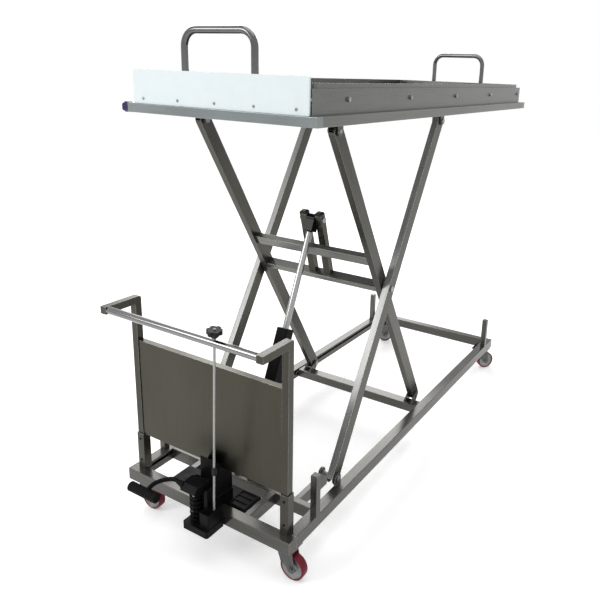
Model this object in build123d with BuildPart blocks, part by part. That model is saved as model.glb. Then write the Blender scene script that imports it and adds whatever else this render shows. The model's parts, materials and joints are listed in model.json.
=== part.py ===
import math
import os

from build123d import *

os.makedirs("parts", exist_ok=True)

# Mortuary lift trolley, platform raised. Sizes in mm.
# X runs across the trolley, Y from the push bar to the far end, Z up from the floor.

# Datum lines of the base
FRONT = -948.25
TOP = 163.0

# Fits
RUN = 0.05
SEAT = 0.02
SIDE_GAP = 1.0

# Base frame of welded stainless tube
BASE_W = 720.0
BASE_L = 1920.0
TUBE_H = 45.0
RAIL_W = 40.0
RAIL_WALL = 3.0
RAIL_MID = BASE_W / 2 - RAIL_W / 2
RAIL_IN = BASE_W / 2 - RAIL_W
SLOT_DROP = 7.0
SLOT_H = 14.0
PUMP_TUBE_Y = FRONT + 175.0
PUMP_TUBE_W = 25.0
BAY_X = 160.5
BAY_W = 25.0
BAY_LEFT = -170.5
BEARER_W = 19.0
BEARER_L = 172.0
LUG_R = 18.0
LUG_T = 8.0
POST = 25.0
POST_H = 146.0
POST_CAP = 4.0
POST_X = BASE_W / 2 - POST / 2
POST_FRONT_Y = FRONT + 162.5
POST_REAR_Y = FRONT + BASE_L - 110.5

# Handle frame, panel and sockets
UPRIGHT = 25.0
UPRIGHT_X = BASE_W / 2 - 53.0
UPRIGHT_Y = FRONT + 30.0
UPRIGHT_TOP = TOP + 662.0
ARM_END_Y = FRONT - 90.0
SHEET = 2.0
BAR_R = 12.5
BAR_Y = FRONT - 77.0
BAR_Z = UPRIGHT_TOP - UPRIGHT / 2
SOCKET = 32.0
SOCKET_H = 142.0
SOCKET_GAP = 0.2
SOCKET_SCREW_R = 4.0
PANEL_Y = FRONT + 33.0
PANEL_D = 22.0
PANEL_LOW = TOP + SOCKET_H
PANEL_TOP = TOP + 505.0
PANEL_T = 1.5

# Scissor: equal arms that cross at mid length
PIVOT_FRONT_Y = FRONT + 342.0
PIVOT_BACK_Y = FRONT + 1068.0
PIVOT_LOW_Z = TOP + 22.0
PIVOT_HIGH_Z = TOP + 1241.0
PITCH = math.hypot(PIVOT_BACK_Y - PIVOT_FRONT_Y, PIVOT_HIGH_Z - PIVOT_LOW_Z)
RISE = math.atan2(PIVOT_HIGH_Z - PIVOT_LOW_Z, PIVOT_BACK_Y - PIVOT_FRONT_Y)
COS_RISE = math.cos(RISE)
SIN_RISE = math.sin(RISE)
MIDDLE_Y = (PIVOT_FRONT_Y + PIVOT_BACK_Y) / 2
MIDDLE_Z = (PIVOT_LOW_Z + PIVOT_HIGH_Z) / 2
ARM_D = 50.0
ARM_W = 25.0
ARM_WALL = 2.0
OUTER_X = RAIL_IN - 28.0
INNER_X = OUTER_X - ARM_W - 5.0
BUSH_R = 13.0
PIN_R = 7.0
PIN_HEAD_R = 11.0
PIN_HEAD = 4.0
EAR_T = 6.0
BEARER_X = INNER_X - 11.5

# Cross tubes and clevis posts of the inner arms, along and across the arm
UPPER_CLEAR = 11.1
CROSS_LONG = 40.0
CROSS_SHORT = 25.0
CLEVIS_ALONG = 952.4
UPPER_BACK = 97.4
UPPER_ALONG = CLEVIS_ALONG - UPPER_BACK
CLEVIS_ACROSS = -62.1
CLEVIS_POST_X = 35.0
CLEVIS_POST_W = 30.0
CLEVIS_POST_D = 25.0
CLEVIS_TIP = 20.0
CLEVIS_CAP = 12.0
CLEVIS_BEVEL = 5.0
CLEVIS_PIN_R = 8.0

# Hydraulic ram
RAM_FOOT_Y = FRONT + 268.0
RAM_FOOT_Z = TOP + 22.0
ROD_R = 12.5
RAM_BODY = 48.0
RAM_BODY_END = 494.0
RAM_BODY_START = 26.0
RAM_BORE_R = 19.0
RAM_BORE_START = 44.0
GLAND = 22.0
ROD_IN = 80.0
ROD_EYE_R = 19.0
ROD_EYE_W = 36.0
ROD_EYE_L = 50.0
TRUNNION_R = 8.0
FOOT_EYE_R = 20.0
FOOT_EYE_W = 50.0
FOOT_LUG_X = 26.0
FOOT_LUG_T = 8.0
FOOT_LUG_END_Y = FRONT + 300.0

# Carriages that carry the sliding arm ends
LOW_TUBE_Y = FRONT + 1030.0
LOW_TUBE_D = 48.0
LOW_TUBE_H = 38.0
LOW_TUBE_TOP = PIVOT_LOW_Z - ARM_D / 2 - 1.0
LOW_TUBE_X = RAIL_IN - 4.0
TONGUE_H = 10.0
TONGUE_L = 90.0
TONGUE_REACH = 24.0

# Platform frame
DECK_X = BASE_W / 2 + 8.0
DECK_FRONT = FRONT + 97.0
DECK_L = 1951.0
DECK_END = DECK_FRONT + DECK_L
DECK_TUBE = 30.0
DECK_WALL = 2.5
DECK_LOW = TOP + 1268.0
DECK_TOP = DECK_LOW + DECK_TUBE
DECK_SLOT = 12.0
DECK_SLOT_START = FRONT + 990.0
DECK_SLOT_END = DECK_END - 198.0
HIGH_TUBE_H = 24.0
HIGH_TUBE_D = 40.0
HIGH_TONGUE = 8.0
PANEL_X = DECK_X - 26.0
SIDE_T = 2.5
SIDE_H = 73.0
SIDE_START = DECK_FRONT + 15.0
SIDE_END = DECK_END - 23.0
SIDE_FOOT = 22.0
BOARD_X = PANEL_X - 3.0
BOARD_Y = DECK_FRONT + 4.0
BOARD_T = 6.0
BOARD_H = 105.0
BOARD_SCREW_STEP = (BOARD_X - 42.0) / 2
BOARD_SCREW_Z = DECK_TOP + 16.0
BOARD_FIN_T = 3.0
BOARD_FIN_H = 34.0

# Roller bed and tray
ROLLER_COUNT = 5
ROLLER_START = DECK_FRONT + 202.0
ROLLER_STEP = (DECK_END - 65.0 - ROLLER_START) / (ROLLER_COUNT - 1)
ROLLER_Z = DECK_TOP + 42.0
ROLLER_R = 14.0
ROLLER_HALF = PANEL_X - 12.0
AXLE_R = 6.0
NUT_R = 8.0
NUT_T = 7.0
TRAY_GAP = 0.3
TRAY_LOW = ROLLER_Z + ROLLER_R + TRAY_GAP
TRAY_TOP = DECK_TOP + 88.0
TRAY_X = PANEL_X - 7.0
TRAY_FRONT = DECK_FRONT + 39.0
TRAY_END = DECK_END - 56.0
TRAY_T = 2.0
LOOP_R = 11.0
LOOP_WALL = 1.5
LOOP_HALF = 135.0
LOOP_TOP = DECK_TOP + 224.0
LOOP_LOW = TRAY_LOW + 6.0
LOOP_BEND = 48.0

# Tray lock knob on the platform's front left corner
LOCK_OUT = DECK_X + 25.0
LOCK_R = 17.0
LOCK_STEM_R = 6.0
LOCK_Y = DECK_FRONT + DECK_TUBE / 2
LOCK_Z = DECK_LOW + DECK_TUBE / 2

# Castors
CASTOR_PLATE_X = 84.0
CASTOR_PLATE_Y = 70.0
CASTOR_X = BASE_W / 2 - CASTOR_PLATE_X / 2
CASTOR_FRONT_Y = FRONT + 45.0
CASTOR_REAR_Y = FRONT + BASE_L - 48.0
CASTOR_PLATE_T = 4.0
KING_R = 6.0
TRAIL = 30.0
WHEEL_R = 45.0
WHEEL_W = 30.0
WHEEL_GAP = 0.5
FORK_T = 4.0
FORK_FOOT_R = 16.0
FORK_TOP_W = 58.0
WHEEL_AXLE_R = 5.0
REAR_TURN = 50.0

# Foot pump, pedal and release
PUMP_LEFT = -11.0
PUMP_RIGHT = 96.0
PUMP_D = 83.0
PUMP_PLATE_H = 24.0
PUMP_PLATE_TOP = TOP - TUBE_H + PUMP_PLATE_H
PLUNGER_X = 17.0
PLUNGER_Y = FRONT - 42.0
PLUNGER_R = 8.0
BARREL_R = 16.0
BARREL_TOP = TOP + 45.0
HEAD_LOW = TOP + 85.0
HEAD_T = 6.0
HEAD_R = 24.0
WIRE_R = 3.0
COIL_R = 21.0
COIL_TURNS = 6
COIL_GAP = 0.3
BLOCK_LEFT = 54.0
BLOCK_TOP = TOP + 33.0
PEDAL_Y = FRONT - 10.0
PEDAL_Z = TOP + 104.0
PEDAL_PIN_R = 5.0
PEDAL_EAR_R = 9.0
PEDAL_EAR_IN = 19.0
PEDAL_EAR_T = 6.0
FORK_IN = 26.0
FORK_PLATE = 6.0
PRESS_R = 6.0
PRESS_GAP = 0.5
PRESS_Z = HEAD_LOW + HEAD_T + PRESS_GAP + PRESS_R
LEVER_BACK = FRONT - 26.0
LEVER_TOP = TOP + 120.0
LEVER_LOW = TOP + 86.0
LEVER_WEB = 5.0
LEVER_SLOPE = 13.0
BAR_SWELL = 6.5
BAR_SWELL_L = 30.0
NOSE_Y = FRONT - 82.0
NOSE_LOW = TOP + 96.0
PEDAL_BAR_R = 7.5
PEDAL_CORE_R = 9.0
PEDAL_ROOT = Vector(PLUNGER_X - FORK_IN - 1.0, FRONT - 68.0, TOP + 108.0)
GRIP_Y = FRONT - 135.0
GRIP_Z = TOP + 75.0
GRIP_R = 15.0
GRIP_RIB_R = 16.5
GRIP_LEFT = -186.0
GRIP_RIGHT = -66.0
GRIP_RIBS = 9
PEDAL_JOIN = Vector(-122.0, GRIP_Y, GRIP_Z)
PEDAL_JOIN_AXIS = Vector(0.25, 0.85, 0.46)
TOWER_LEFT = -3.0
TOWER_RIGHT = 61.0
TOWER_BACK = FRONT + 81.0
TOWER_TOP = TOP + 184.0
TOWER_FALL = 71.0 / 81.0
TOWER_FOOT = 3.0
TOWER_FOOT_H = 46.0
COLUMN_LEFT = 52.0
COLUMN_RIGHT = 66.0
COLUMN_D = 46.0
COLUMN_TOP = TOP + 100.0
TANK_LEFT = BAY_LEFT + BAY_W / 2
TANK_RIGHT = BAY_X - BAY_W / 2
TANK_BACK = FRONT + 128.0
TANK_H = 40.0
LID_LEFT = BAY_LEFT - BAY_W / 2
LID_FRONT = FRONT + RAIL_W + 2.0
LID_T = 4.0
LID_RIB_LEFT = 72.0
LID_RIB_H = 3.0
LID_RIB_W = 5.0
RELEASE_R = 4.0
RELEASE_FOOT = Vector(86.0, FRONT - 36.0, BLOCK_TOP)
RELEASE_HIGH = Vector(144.0, BAR_Y, BAR_Z)
RELEASE_AXIS = (RELEASE_HIGH - RELEASE_FOOT).normalized()
RELEASE_SEAT = 14.0
RELEASE_OVER = 33.4
RELEASE_L = (RELEASE_HIGH - RELEASE_FOOT).length + RELEASE_SEAT + RELEASE_OVER
KNOB_R = 23.5
KNOB_HEAD = 14.0
KNOB_NECK = 12.0
KNOB_LOBES = 6
COUPLING_R = 8.0
COUPLING_L = 26.0
COUPLING_AT = 145.0

# Both base rails: channel with an inward slot under the top, and a rounded lug for the arm pivot
with BuildPart() as side_rails:
    with BuildSketch(Plane.XZ.offset(-(FRONT + RAIL_W))):
        with Locations((RAIL_MID, TOP - TUBE_H / 2)):
            RectangleRounded(RAIL_W, TUBE_H, 2.0)
            Rectangle(RAIL_W - 2 * RAIL_WALL, TUBE_H - 2 * RAIL_WALL, mode=Mode.SUBTRACT)
        with Locations((RAIL_IN + RAIL_WALL / 2, TOP - SLOT_DROP - SLOT_H / 2)):
            Rectangle(2 * RAIL_WALL, SLOT_H, mode=Mode.SUBTRACT)
    extrude(amount=-(BASE_L - 2 * RAIL_W))
    with BuildSketch(Plane.YZ.offset(OUTER_X + ARM_W + SIDE_GAP)):
        with Locations((PIVOT_FRONT_Y, PIVOT_LOW_Z)):
            Circle(LUG_R)
        with Locations((PIVOT_FRONT_Y, (TOP - 1.0 + PIVOT_LOW_Z) / 2)):
            Rectangle(2 * LUG_R, PIVOT_LOW_Z - TOP + 1.0)
        with Locations((PIVOT_FRONT_Y, PIVOT_LOW_Z)):
            Circle(PIN_R + RUN, mode=Mode.SUBTRACT)
    extrude(amount=LUG_T)
    mirror(about=Plane.YZ)
side_rails.part.label = "side_rails"
export_step(side_rails.part, "parts/side_rails.step")

# Front cross tube, closed at its ends, open into the rails behind it
with BuildPart() as front_cross_tube:
    with BuildSketch(Plane.YZ.offset(-BASE_W / 2)):
        with Locations((FRONT + RAIL_W / 2, TOP - TUBE_H / 2)):
            RectangleRounded(RAIL_W, TUBE_H, 2.0)
    extrude(amount=BASE_W)
    with Locations((0, FRONT + RAIL_W / 2, TOP - TUBE_H / 2)):
        Box(BASE_W - 2 * RAIL_WALL, RAIL_W - 2 * RAIL_WALL, TUBE_H - 2 * RAIL_WALL, mode=Mode.SUBTRACT)
    with Locations((0, FRONT + RAIL_W, TOP - TUBE_H / 2)):
        with GridLocations(2 * RAIL_MID, 1, 2, 1):
            Box(24, 4 * RAIL_WALL, 28, mode=Mode.SUBTRACT)
front_cross_tube.part.label = "front_cross_tube"
export_step(front_cross_tube.part, "parts/front_cross_tube.step")

# Rear cross tube, the same turned round
with BuildPart() as rear_cross_tube:
    with BuildSketch(Plane.YZ.offset(-BASE_W / 2)):
        with Locations((FRONT + BASE_L - RAIL_W / 2, TOP - TUBE_H / 2)):
            RectangleRounded(RAIL_W, TUBE_H, 2.0)
    extrude(amount=BASE_W)
    with Locations((0, FRONT + BASE_L - RAIL_W / 2, TOP - TUBE_H / 2)):
        Box(BASE_W - 2 * RAIL_WALL, RAIL_W - 2 * RAIL_WALL, TUBE_H - 2 * RAIL_WALL, mode=Mode.SUBTRACT)
    with Locations((0, FRONT + BASE_L - RAIL_W, TOP - TUBE_H / 2)):
        with GridLocations(2 * RAIL_MID, 1, 2, 1):
            Box(24, 4 * RAIL_WALL, 28, mode=Mode.SUBTRACT)
rear_cross_tube.part.label = "rear_cross_tube"
export_step(rear_cross_tube.part, "parts/rear_cross_tube.step")

# Second cross tube, which carries the ram's foot
with BuildPart() as pump_cross_tube:
    with BuildSketch(Plane.YZ.offset(-RAIL_IN)):
        with Locations((PUMP_TUBE_Y + PUMP_TUBE_W / 2, TOP - TUBE_H / 2)):
            RectangleRounded(PUMP_TUBE_W, TUBE_H, 2.0)
            Rectangle(PUMP_TUBE_W - 2 * RAIL_WALL, TUBE_H - 2 * RAIL_WALL, mode=Mode.SUBTRACT)
    extrude(amount=2 * RAIL_IN)
pump_cross_tube.part.label = "pump_cross_tube"
export_step(pump_cross_tube.part, "parts/pump_cross_tube.step")

# Two short tubes that frame the pump bay
with BuildPart() as bay_tubes:
    with BuildSketch(Plane.XZ.offset(-(FRONT + RAIL_W))):
        with Locations((BAY_X, TOP - TUBE_H / 2), (BAY_LEFT, TOP - TUBE_H / 2)):
            RectangleRounded(BAY_W, TUBE_H, 2.0)
            Rectangle(BAY_W - 2 * RAIL_WALL, TUBE_H - 2 * RAIL_WALL, mode=Mode.SUBTRACT)
    extrude(amount=-(PUMP_TUBE_Y - FRONT - RAIL_W))
bay_tubes.part.label = "bay_tubes"
export_step(bay_tubes.part, "parts/bay_tubes.step")

# Bearer bars behind the second tube, each with the inner lug of an arm pivot
with BuildPart() as bearer_bars:
    with Locations((BEARER_X, PUMP_TUBE_Y + PUMP_TUBE_W + BEARER_L / 2, TOP - TUBE_H / 2)):
        Box(BEARER_W, BEARER_L, TUBE_H)
    with Locations((BEARER_X, PUMP_TUBE_Y + PUMP_TUBE_W + BEARER_L / 2 - RAIL_WALL, TOP - TUBE_H / 2)):
        Box(BEARER_W - 2 * RAIL_WALL, BEARER_L, TUBE_H - 2 * RAIL_WALL, mode=Mode.SUBTRACT)
    with BuildSketch(Plane.YZ.offset(BEARER_X + BEARER_W / 2 - LUG_T)):
        with Locations((PIVOT_FRONT_Y, PIVOT_LOW_Z)):
            Circle(LUG_R)
        with Locations((PIVOT_FRONT_Y, (TOP - 1.0 + PIVOT_LOW_Z) / 2)):
            Rectangle(2 * LUG_R, PIVOT_LOW_Z - TOP + 1.0)
        with Locations((PIVOT_FRONT_Y, PIVOT_LOW_Z)):
            Circle(PIN_R + RUN, mode=Mode.SUBTRACT)
    extrude(amount=LUG_T)
    mirror(about=Plane.YZ)
bearer_bars.part.label = "bearer_bars"
export_step(bearer_bars.part, "parts/bearer_bars.step")

# Four posts on the rails, on which the lowered platform rests
with BuildPart() as stop_posts:
    with BuildSketch(Plane.XY.offset(TOP)):
        with Locations((POST_X, POST_FRONT_Y), (POST_X, POST_REAR_Y)):
            RectangleRounded(POST, POST, 2.0)
            Rectangle(POST - 2 * SHEET, POST - 2 * SHEET, mode=Mode.SUBTRACT)
    extrude(amount=POST_H)
    mirror(about=Plane.YZ)
stop_posts.part.label = "stop_posts"
export_step(stop_posts.part, "parts/stop_posts.step")

# Caps on the posts, each with a plug inside the tube
with BuildPart() as stop_caps:
    with BuildSketch(Plane.XY.offset(TOP + POST_H)):
        with Locations((POST_X, POST_FRONT_Y), (POST_X, POST_REAR_Y)):
            RectangleRounded(POST, POST, 2.0)
    extrude(amount=POST_CAP)
    chamfer(stop_caps.faces().group_by(Axis.Z)[-1].edges(), 1.2)
    with BuildSketch(Plane.XY.offset(TOP + POST_H)):
        with Locations((POST_X, POST_FRONT_Y), (POST_X, POST_REAR_Y)):
            Rectangle(POST - 2 * SHEET - 2 * SOCKET_GAP, POST - 2 * SHEET - 2 * SOCKET_GAP)
    extrude(amount=-10)
    mirror(about=Plane.YZ)
stop_caps.part.label = "stop_caps"
export_step(stop_caps.part, "parts/stop_caps.step")

# Handle frame: two upright tubes that turn forward at the top
with BuildPart() as handle_frames:
    with BuildSketch(Plane.YZ.offset(UPRIGHT_X)):
        with BuildLine():
            Polyline(
                (UPRIGHT_Y, TOP),
                (UPRIGHT_Y + UPRIGHT, TOP),
                (UPRIGHT_Y + UPRIGHT, UPRIGHT_TOP),
                (ARM_END_Y, UPRIGHT_TOP),
                (ARM_END_Y, UPRIGHT_TOP - UPRIGHT),
                (UPRIGHT_Y, UPRIGHT_TOP - UPRIGHT),
                close=True,
            )
        make_face()
    extrude(amount=UPRIGHT)
    fillet(handle_frames.edges().filter_by(Axis.X).group_by(Axis.Z)[-1].sort_by(Axis.Y)[-1], 8.0)
    with BuildSketch(Plane.YZ.offset(UPRIGHT_X + SHEET)):
        with BuildLine():
            Polyline(
                (UPRIGHT_Y + SHEET, TOP),
                (UPRIGHT_Y + UPRIGHT - SHEET, TOP),
                (UPRIGHT_Y + UPRIGHT - SHEET, UPRIGHT_TOP - 3 * SHEET),
                (UPRIGHT_Y + UPRIGHT - 3 * SHEET, UPRIGHT_TOP - SHEET),
                (ARM_END_Y + SHEET, UPRIGHT_TOP - SHEET),
                (ARM_END_Y + SHEET, UPRIGHT_TOP - UPRIGHT + SHEET),
                (UPRIGHT_Y + SHEET, UPRIGHT_TOP - UPRIGHT + SHEET),
                close=True,
            )
        make_face()
    extrude(amount=UPRIGHT - 2 * SHEET, mode=Mode.SUBTRACT)
    mirror(about=Plane.YZ)
handle_frames.part.label = "handle_frames"
export_step(handle_frames.part, "parts/handle_frames.step")

# Round push bar, drilled for the release rod
with BuildPart() as push_bar:
    with BuildSketch(Plane.YZ.offset(-UPRIGHT_X)):
        with Locations((BAR_Y, BAR_Z)):
            Circle(BAR_R)
            Circle(BAR_R - SHEET, mode=Mode.SUBTRACT)
    extrude(amount=2 * UPRIGHT_X)
    with BuildSketch(Plane(origin=RELEASE_HIGH, z_dir=RELEASE_AXIS)):
        Circle(RELEASE_R + 0.5)
    extrude(amount=2 * BAR_R, both=True, mode=Mode.SUBTRACT)
push_bar.part.label = "push_bar"
export_step(push_bar.part, "parts/push_bar.step")

# Sockets welded to the base, in which the uprights stand
with BuildPart() as upright_sockets:
    with BuildSketch(Plane.XY.offset(TOP)):
        with Locations((UPRIGHT_X + UPRIGHT / 2, UPRIGHT_Y + UPRIGHT / 2)):
            RectangleRounded(SOCKET, SOCKET, 2.0)
            Rectangle(UPRIGHT + 2 * SOCKET_GAP, UPRIGHT + 2 * SOCKET_GAP, mode=Mode.SUBTRACT)
    extrude(amount=SOCKET_H)
    with BuildSketch(Plane.XZ.offset(-UPRIGHT_Y)):
        with Locations((UPRIGHT_X + UPRIGHT / 2, TOP + 35.0), (UPRIGHT_X + UPRIGHT / 2, TOP + 120.0)):
            Circle(SOCKET_SCREW_R / 2 + SEAT)
    extrude(amount=2 * SOCKET, mode=Mode.SUBTRACT)
    mirror(about=Plane.YZ)
upright_sockets.part.label = "upright_sockets"
export_step(upright_sockets.part, "parts/upright_sockets.step")

# Set screws that hold the uprights in the sockets
with BuildPart() as socket_screws:
    with BuildSketch(Plane.XZ.offset(-(UPRIGHT_Y + UPRIGHT / 2 - SOCKET / 2))):
        with Locations((UPRIGHT_X + UPRIGHT / 2, TOP + 35.0), (UPRIGHT_X + UPRIGHT / 2, TOP + 120.0)):
            Circle(SOCKET_SCREW_R)
    extrude(amount=3.0)
    with BuildSketch(Plane.XZ.offset(-(UPRIGHT_Y + UPRIGHT / 2 - SOCKET / 2))):
        with Locations((UPRIGHT_X + UPRIGHT / 2, TOP + 35.0), (UPRIGHT_X + UPRIGHT / 2, TOP + 120.0)):
            Circle(SOCKET_SCREW_R / 2)
    extrude(amount=-(SOCKET - UPRIGHT) / 2 + SEAT)
    mirror(about=Plane.YZ)
socket_screws.part.label = "socket_screws"
export_step(socket_screws.part, "parts/socket_screws.step")

# Sheet panel between the uprights, its four edges folded back
with BuildPart() as front_panel:
    with BuildSketch(Plane.XZ.offset(-PANEL_Y)):
        with Locations((0, (PANEL_LOW + PANEL_TOP) / 2)):
            Rectangle(2 * UPRIGHT_X, PANEL_TOP - PANEL_LOW)
    extrude(amount=-PANEL_D)
    with BuildSketch(Plane.XZ.offset(-(PANEL_Y + PANEL_T))):
        with Locations((0, (PANEL_LOW + PANEL_TOP) / 2)):
            Rectangle(2 * UPRIGHT_X - 2 * PANEL_T, PANEL_TOP - PANEL_LOW - 2 * PANEL_T)
    extrude(amount=-PANEL_D, mode=Mode.SUBTRACT)
front_panel.part.label = "front_panel"
export_step(front_panel.part, "parts/front_panel.step")

# Castor plates under the corners of the base
with BuildPart() as castor_plates:
    with BuildSketch(Plane.XY.offset(TOP - TUBE_H)):
        with Locations((CASTOR_X, CASTOR_FRONT_Y), (CASTOR_X, CASTOR_REAR_Y)):
            RectangleRounded(CASTOR_PLATE_X, CASTOR_PLATE_Y, 6.0)
            Circle(KING_R + RUN, mode=Mode.SUBTRACT)
    extrude(amount=-CASTOR_PLATE_T)
    mirror(about=Plane.YZ)
castor_plates.part.label = "castor_plates"
export_step(castor_plates.part, "parts/castor_plates.step")

# Castors: swivelling fork with its axle, and the wheel with its bonded tread
PLATE_LOW = TOP - TUBE_H - CASTOR_PLATE_T
CROWN_LOW = WHEEL_R * 2 + 6.0
for end, castor_y, turn in (("front", CASTOR_FRONT_Y, 0.0), ("rear", CASTOR_REAR_Y, REAR_TURN)):
    for side, castor_x in (("left", -CASTOR_X), ("right", CASTOR_X)):
        ahead = Vector(math.cos(math.radians(turn)), math.sin(math.radians(turn)), 0)
        across = Vector(ahead.Y, -ahead.X, 0)
        flank = Plane(origin=(castor_x, castor_y, 0), x_dir=ahead, z_dir=across)
        with BuildPart() as castor_fork:
            with Locations((castor_x, castor_y, (CROWN_LOW + 5.0 + PLATE_LOW - 0.3) / 2)):
                Cylinder(25.0, PLATE_LOW - 0.3 - CROWN_LOW - 5.0)
            with Locations((castor_x, castor_y, PLATE_LOW + CASTOR_PLATE_T / 2 - 0.5)):
                Cylinder(KING_R, CASTOR_PLATE_T + 1.0)
            with BuildSketch(flank.offset(-(WHEEL_W / 2 + WHEEL_GAP + FORK_T))):
                with Locations((4.0, CROWN_LOW + 2.5)):
                    Rectangle(FORK_TOP_W, 5.0)
            extrude(amount=WHEEL_W + 2 * WHEEL_GAP + 2 * FORK_T)
            for start in (-(WHEEL_W / 2 + WHEEL_GAP + FORK_T), WHEEL_W / 2 + WHEEL_GAP):
                with BuildSketch(flank.offset(start)):
                    with BuildLine():
                        Polyline(
                            (4.0 - FORK_TOP_W / 2, CROWN_LOW + 5.0),
                            (4.0 + FORK_TOP_W / 2, CROWN_LOW + 5.0),
                            (TRAIL + FORK_FOOT_R, WHEEL_R),
                            (TRAIL - FORK_FOOT_R, WHEEL_R),
                            (TRAIL - 2.5 * FORK_FOOT_R, WHEEL_R + FORK_FOOT_R),
                            close=True,
                        )
                    make_face()
                    with Locations((TRAIL, WHEEL_R)):
                        Circle(FORK_FOOT_R)
                extrude(amount=FORK_T)
            with BuildSketch(flank.offset(-(WHEEL_W / 2 + WHEEL_GAP + FORK_T + 3.0))):
                with Locations((TRAIL, WHEEL_R)):
                    Circle(WHEEL_AXLE_R)
            extrude(amount=WHEEL_W + 2 * WHEEL_GAP + 2 * FORK_T + 6.0)
            with BuildSketch(flank.offset(WHEEL_W / 2 + WHEEL_GAP + FORK_T)):
                with Locations((TRAIL, WHEEL_R)):
                    RegularPolygon(8.0, 6)
            extrude(amount=5.0)
            with BuildSketch(flank.offset(-(WHEEL_W / 2 + WHEEL_GAP + FORK_T))):
                with Locations((TRAIL, WHEEL_R)):
                    RegularPolygon(8.0, 6)
            extrude(amount=-5.0)
        castor_fork.part.label = f"castor_fork_{end}_{side}"
        export_step(castor_fork.part, f"parts/castor_fork_{end}_{side}.step")
        with BuildPart() as castor_wheel:
            with BuildSketch(flank.offset(-WHEEL_W / 2)):
                with Locations((TRAIL, WHEEL_R)):
                    Circle(WHEEL_R)
            extrude(amount=WHEEL_W)
            fillet(castor_wheel.edges().filter_by(GeomType.CIRCLE), 6.0)
            with BuildSketch(flank.offset(-WHEEL_W / 2)):
                with Locations((TRAIL, WHEEL_R)):
                    Circle(32.0)
                    Circle(13.0, mode=Mode.SUBTRACT)
            extrude(amount=6.0, mode=Mode.SUBTRACT)
            with BuildSketch(flank.offset(WHEEL_W / 2)):
                with Locations((TRAIL, WHEEL_R)):
                    Circle(32.0)
                    Circle(13.0, mode=Mode.SUBTRACT)
            extrude(amount=-6.0, mode=Mode.SUBTRACT)
            with BuildSketch(flank.offset(-WHEEL_W / 2)):
                with Locations((TRAIL, WHEEL_R)):
                    Circle(WHEEL_AXLE_R + RUN)
            extrude(amount=WHEEL_W, mode=Mode.SUBTRACT)
        castor_wheel.part.label = f"castor_wheel_{end}_{side}"
        export_step(castor_wheel.part, f"parts/castor_wheel_{end}_{side}.step")

# Two lugs behind the second tube, with an open cradle for the ram's foot trunnion
with BuildPart() as ram_foot_lugs:
    with BuildSketch(Plane.YZ.offset(FOOT_LUG_X)):
        with BuildLine():
            Polyline(
                (PUMP_TUBE_Y + PUMP_TUBE_W, TOP - TUBE_H + 5.0),
                (FOOT_LUG_END_Y, TOP - TUBE_H + 5.0),
                (FOOT_LUG_END_Y, RAM_FOOT_Z + 14.0),
                (RAM_FOOT_Y + 6.0, RAM_FOOT_Z + 24.0),
                (PUMP_TUBE_Y + PUMP_TUBE_W, RAM_FOOT_Z + 10.0),
                close=True,
            )
        make_face()
        with Locations((RAM_FOOT_Y, RAM_FOOT_Z)):
            Circle(TRUNNION_R + 0.3, mode=Mode.SUBTRACT)
        with BuildLine():
            Polyline(
                (RAM_FOOT_Y - 6.2, RAM_FOOT_Z - 6.8),
                (RAM_FOOT_Y - 80.0, RAM_FOOT_Z + 58.0),
                (RAM_FOOT_Y - 42.0, RAM_FOOT_Z + 82.0),
                (RAM_FOOT_Y + 7.8, RAM_FOOT_Z + 5.2),
                close=True,
            )
        make_face(mode=Mode.SUBTRACT)
    extrude(amount=FOOT_LUG_T)
    mirror(about=Plane.YZ)
ram_foot_lugs.part.label = "ram_foot_lugs"
export_step(ram_foot_lugs.part, "parts/ram_foot_lugs.step")

# Planes of the arms: first axis along the arm from its lower pivot, faces square to X
outer_plane = Plane(
    origin=(0, PIVOT_FRONT_Y, PIVOT_LOW_Z), x_dir=(0, COS_RISE, SIN_RISE), z_dir=(1, 0, 0)
)
inner_plane = Plane(
    origin=(0, PIVOT_BACK_Y, PIVOT_LOW_Z), x_dir=(0, -COS_RISE, SIN_RISE), z_dir=(1, 0, 0)
)

# Outer arms: rectangular tube with a welded bush at both ends and at mid length
with BuildPart() as outer_arms:
    with BuildSketch(outer_plane.offset(OUTER_X)):
        with Locations((PITCH / 2, 0)):
            SlotCenterToCenter(PITCH, ARM_D)
    extrude(amount=ARM_W)
    with BuildSketch(outer_plane.offset(OUTER_X + ARM_WALL)):
        with Locations((PITCH / 2, 0)):
            Rectangle(PITCH + 2 * ARM_D, ARM_D - 2 * ARM_WALL)
    extrude(amount=ARM_W - 2 * ARM_WALL, mode=Mode.SUBTRACT)
    with BuildSketch(outer_plane.offset(OUTER_X)):
        with Locations((0, 0), (PITCH / 2, 0), (PITCH, 0)):
            Circle(BUSH_R)
    extrude(amount=ARM_W)
    with BuildSketch(outer_plane.offset(OUTER_X)):
        with Locations((0, 0), (PITCH / 2, 0), (PITCH, 0)):
            Circle(PIN_R + SEAT)
    extrude(amount=ARM_W, mode=Mode.SUBTRACT)
    mirror(about=Plane.YZ)
outer_arms.part.label = "outer_arms"
export_step(outer_arms.part, "parts/outer_arms.step")

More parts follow.
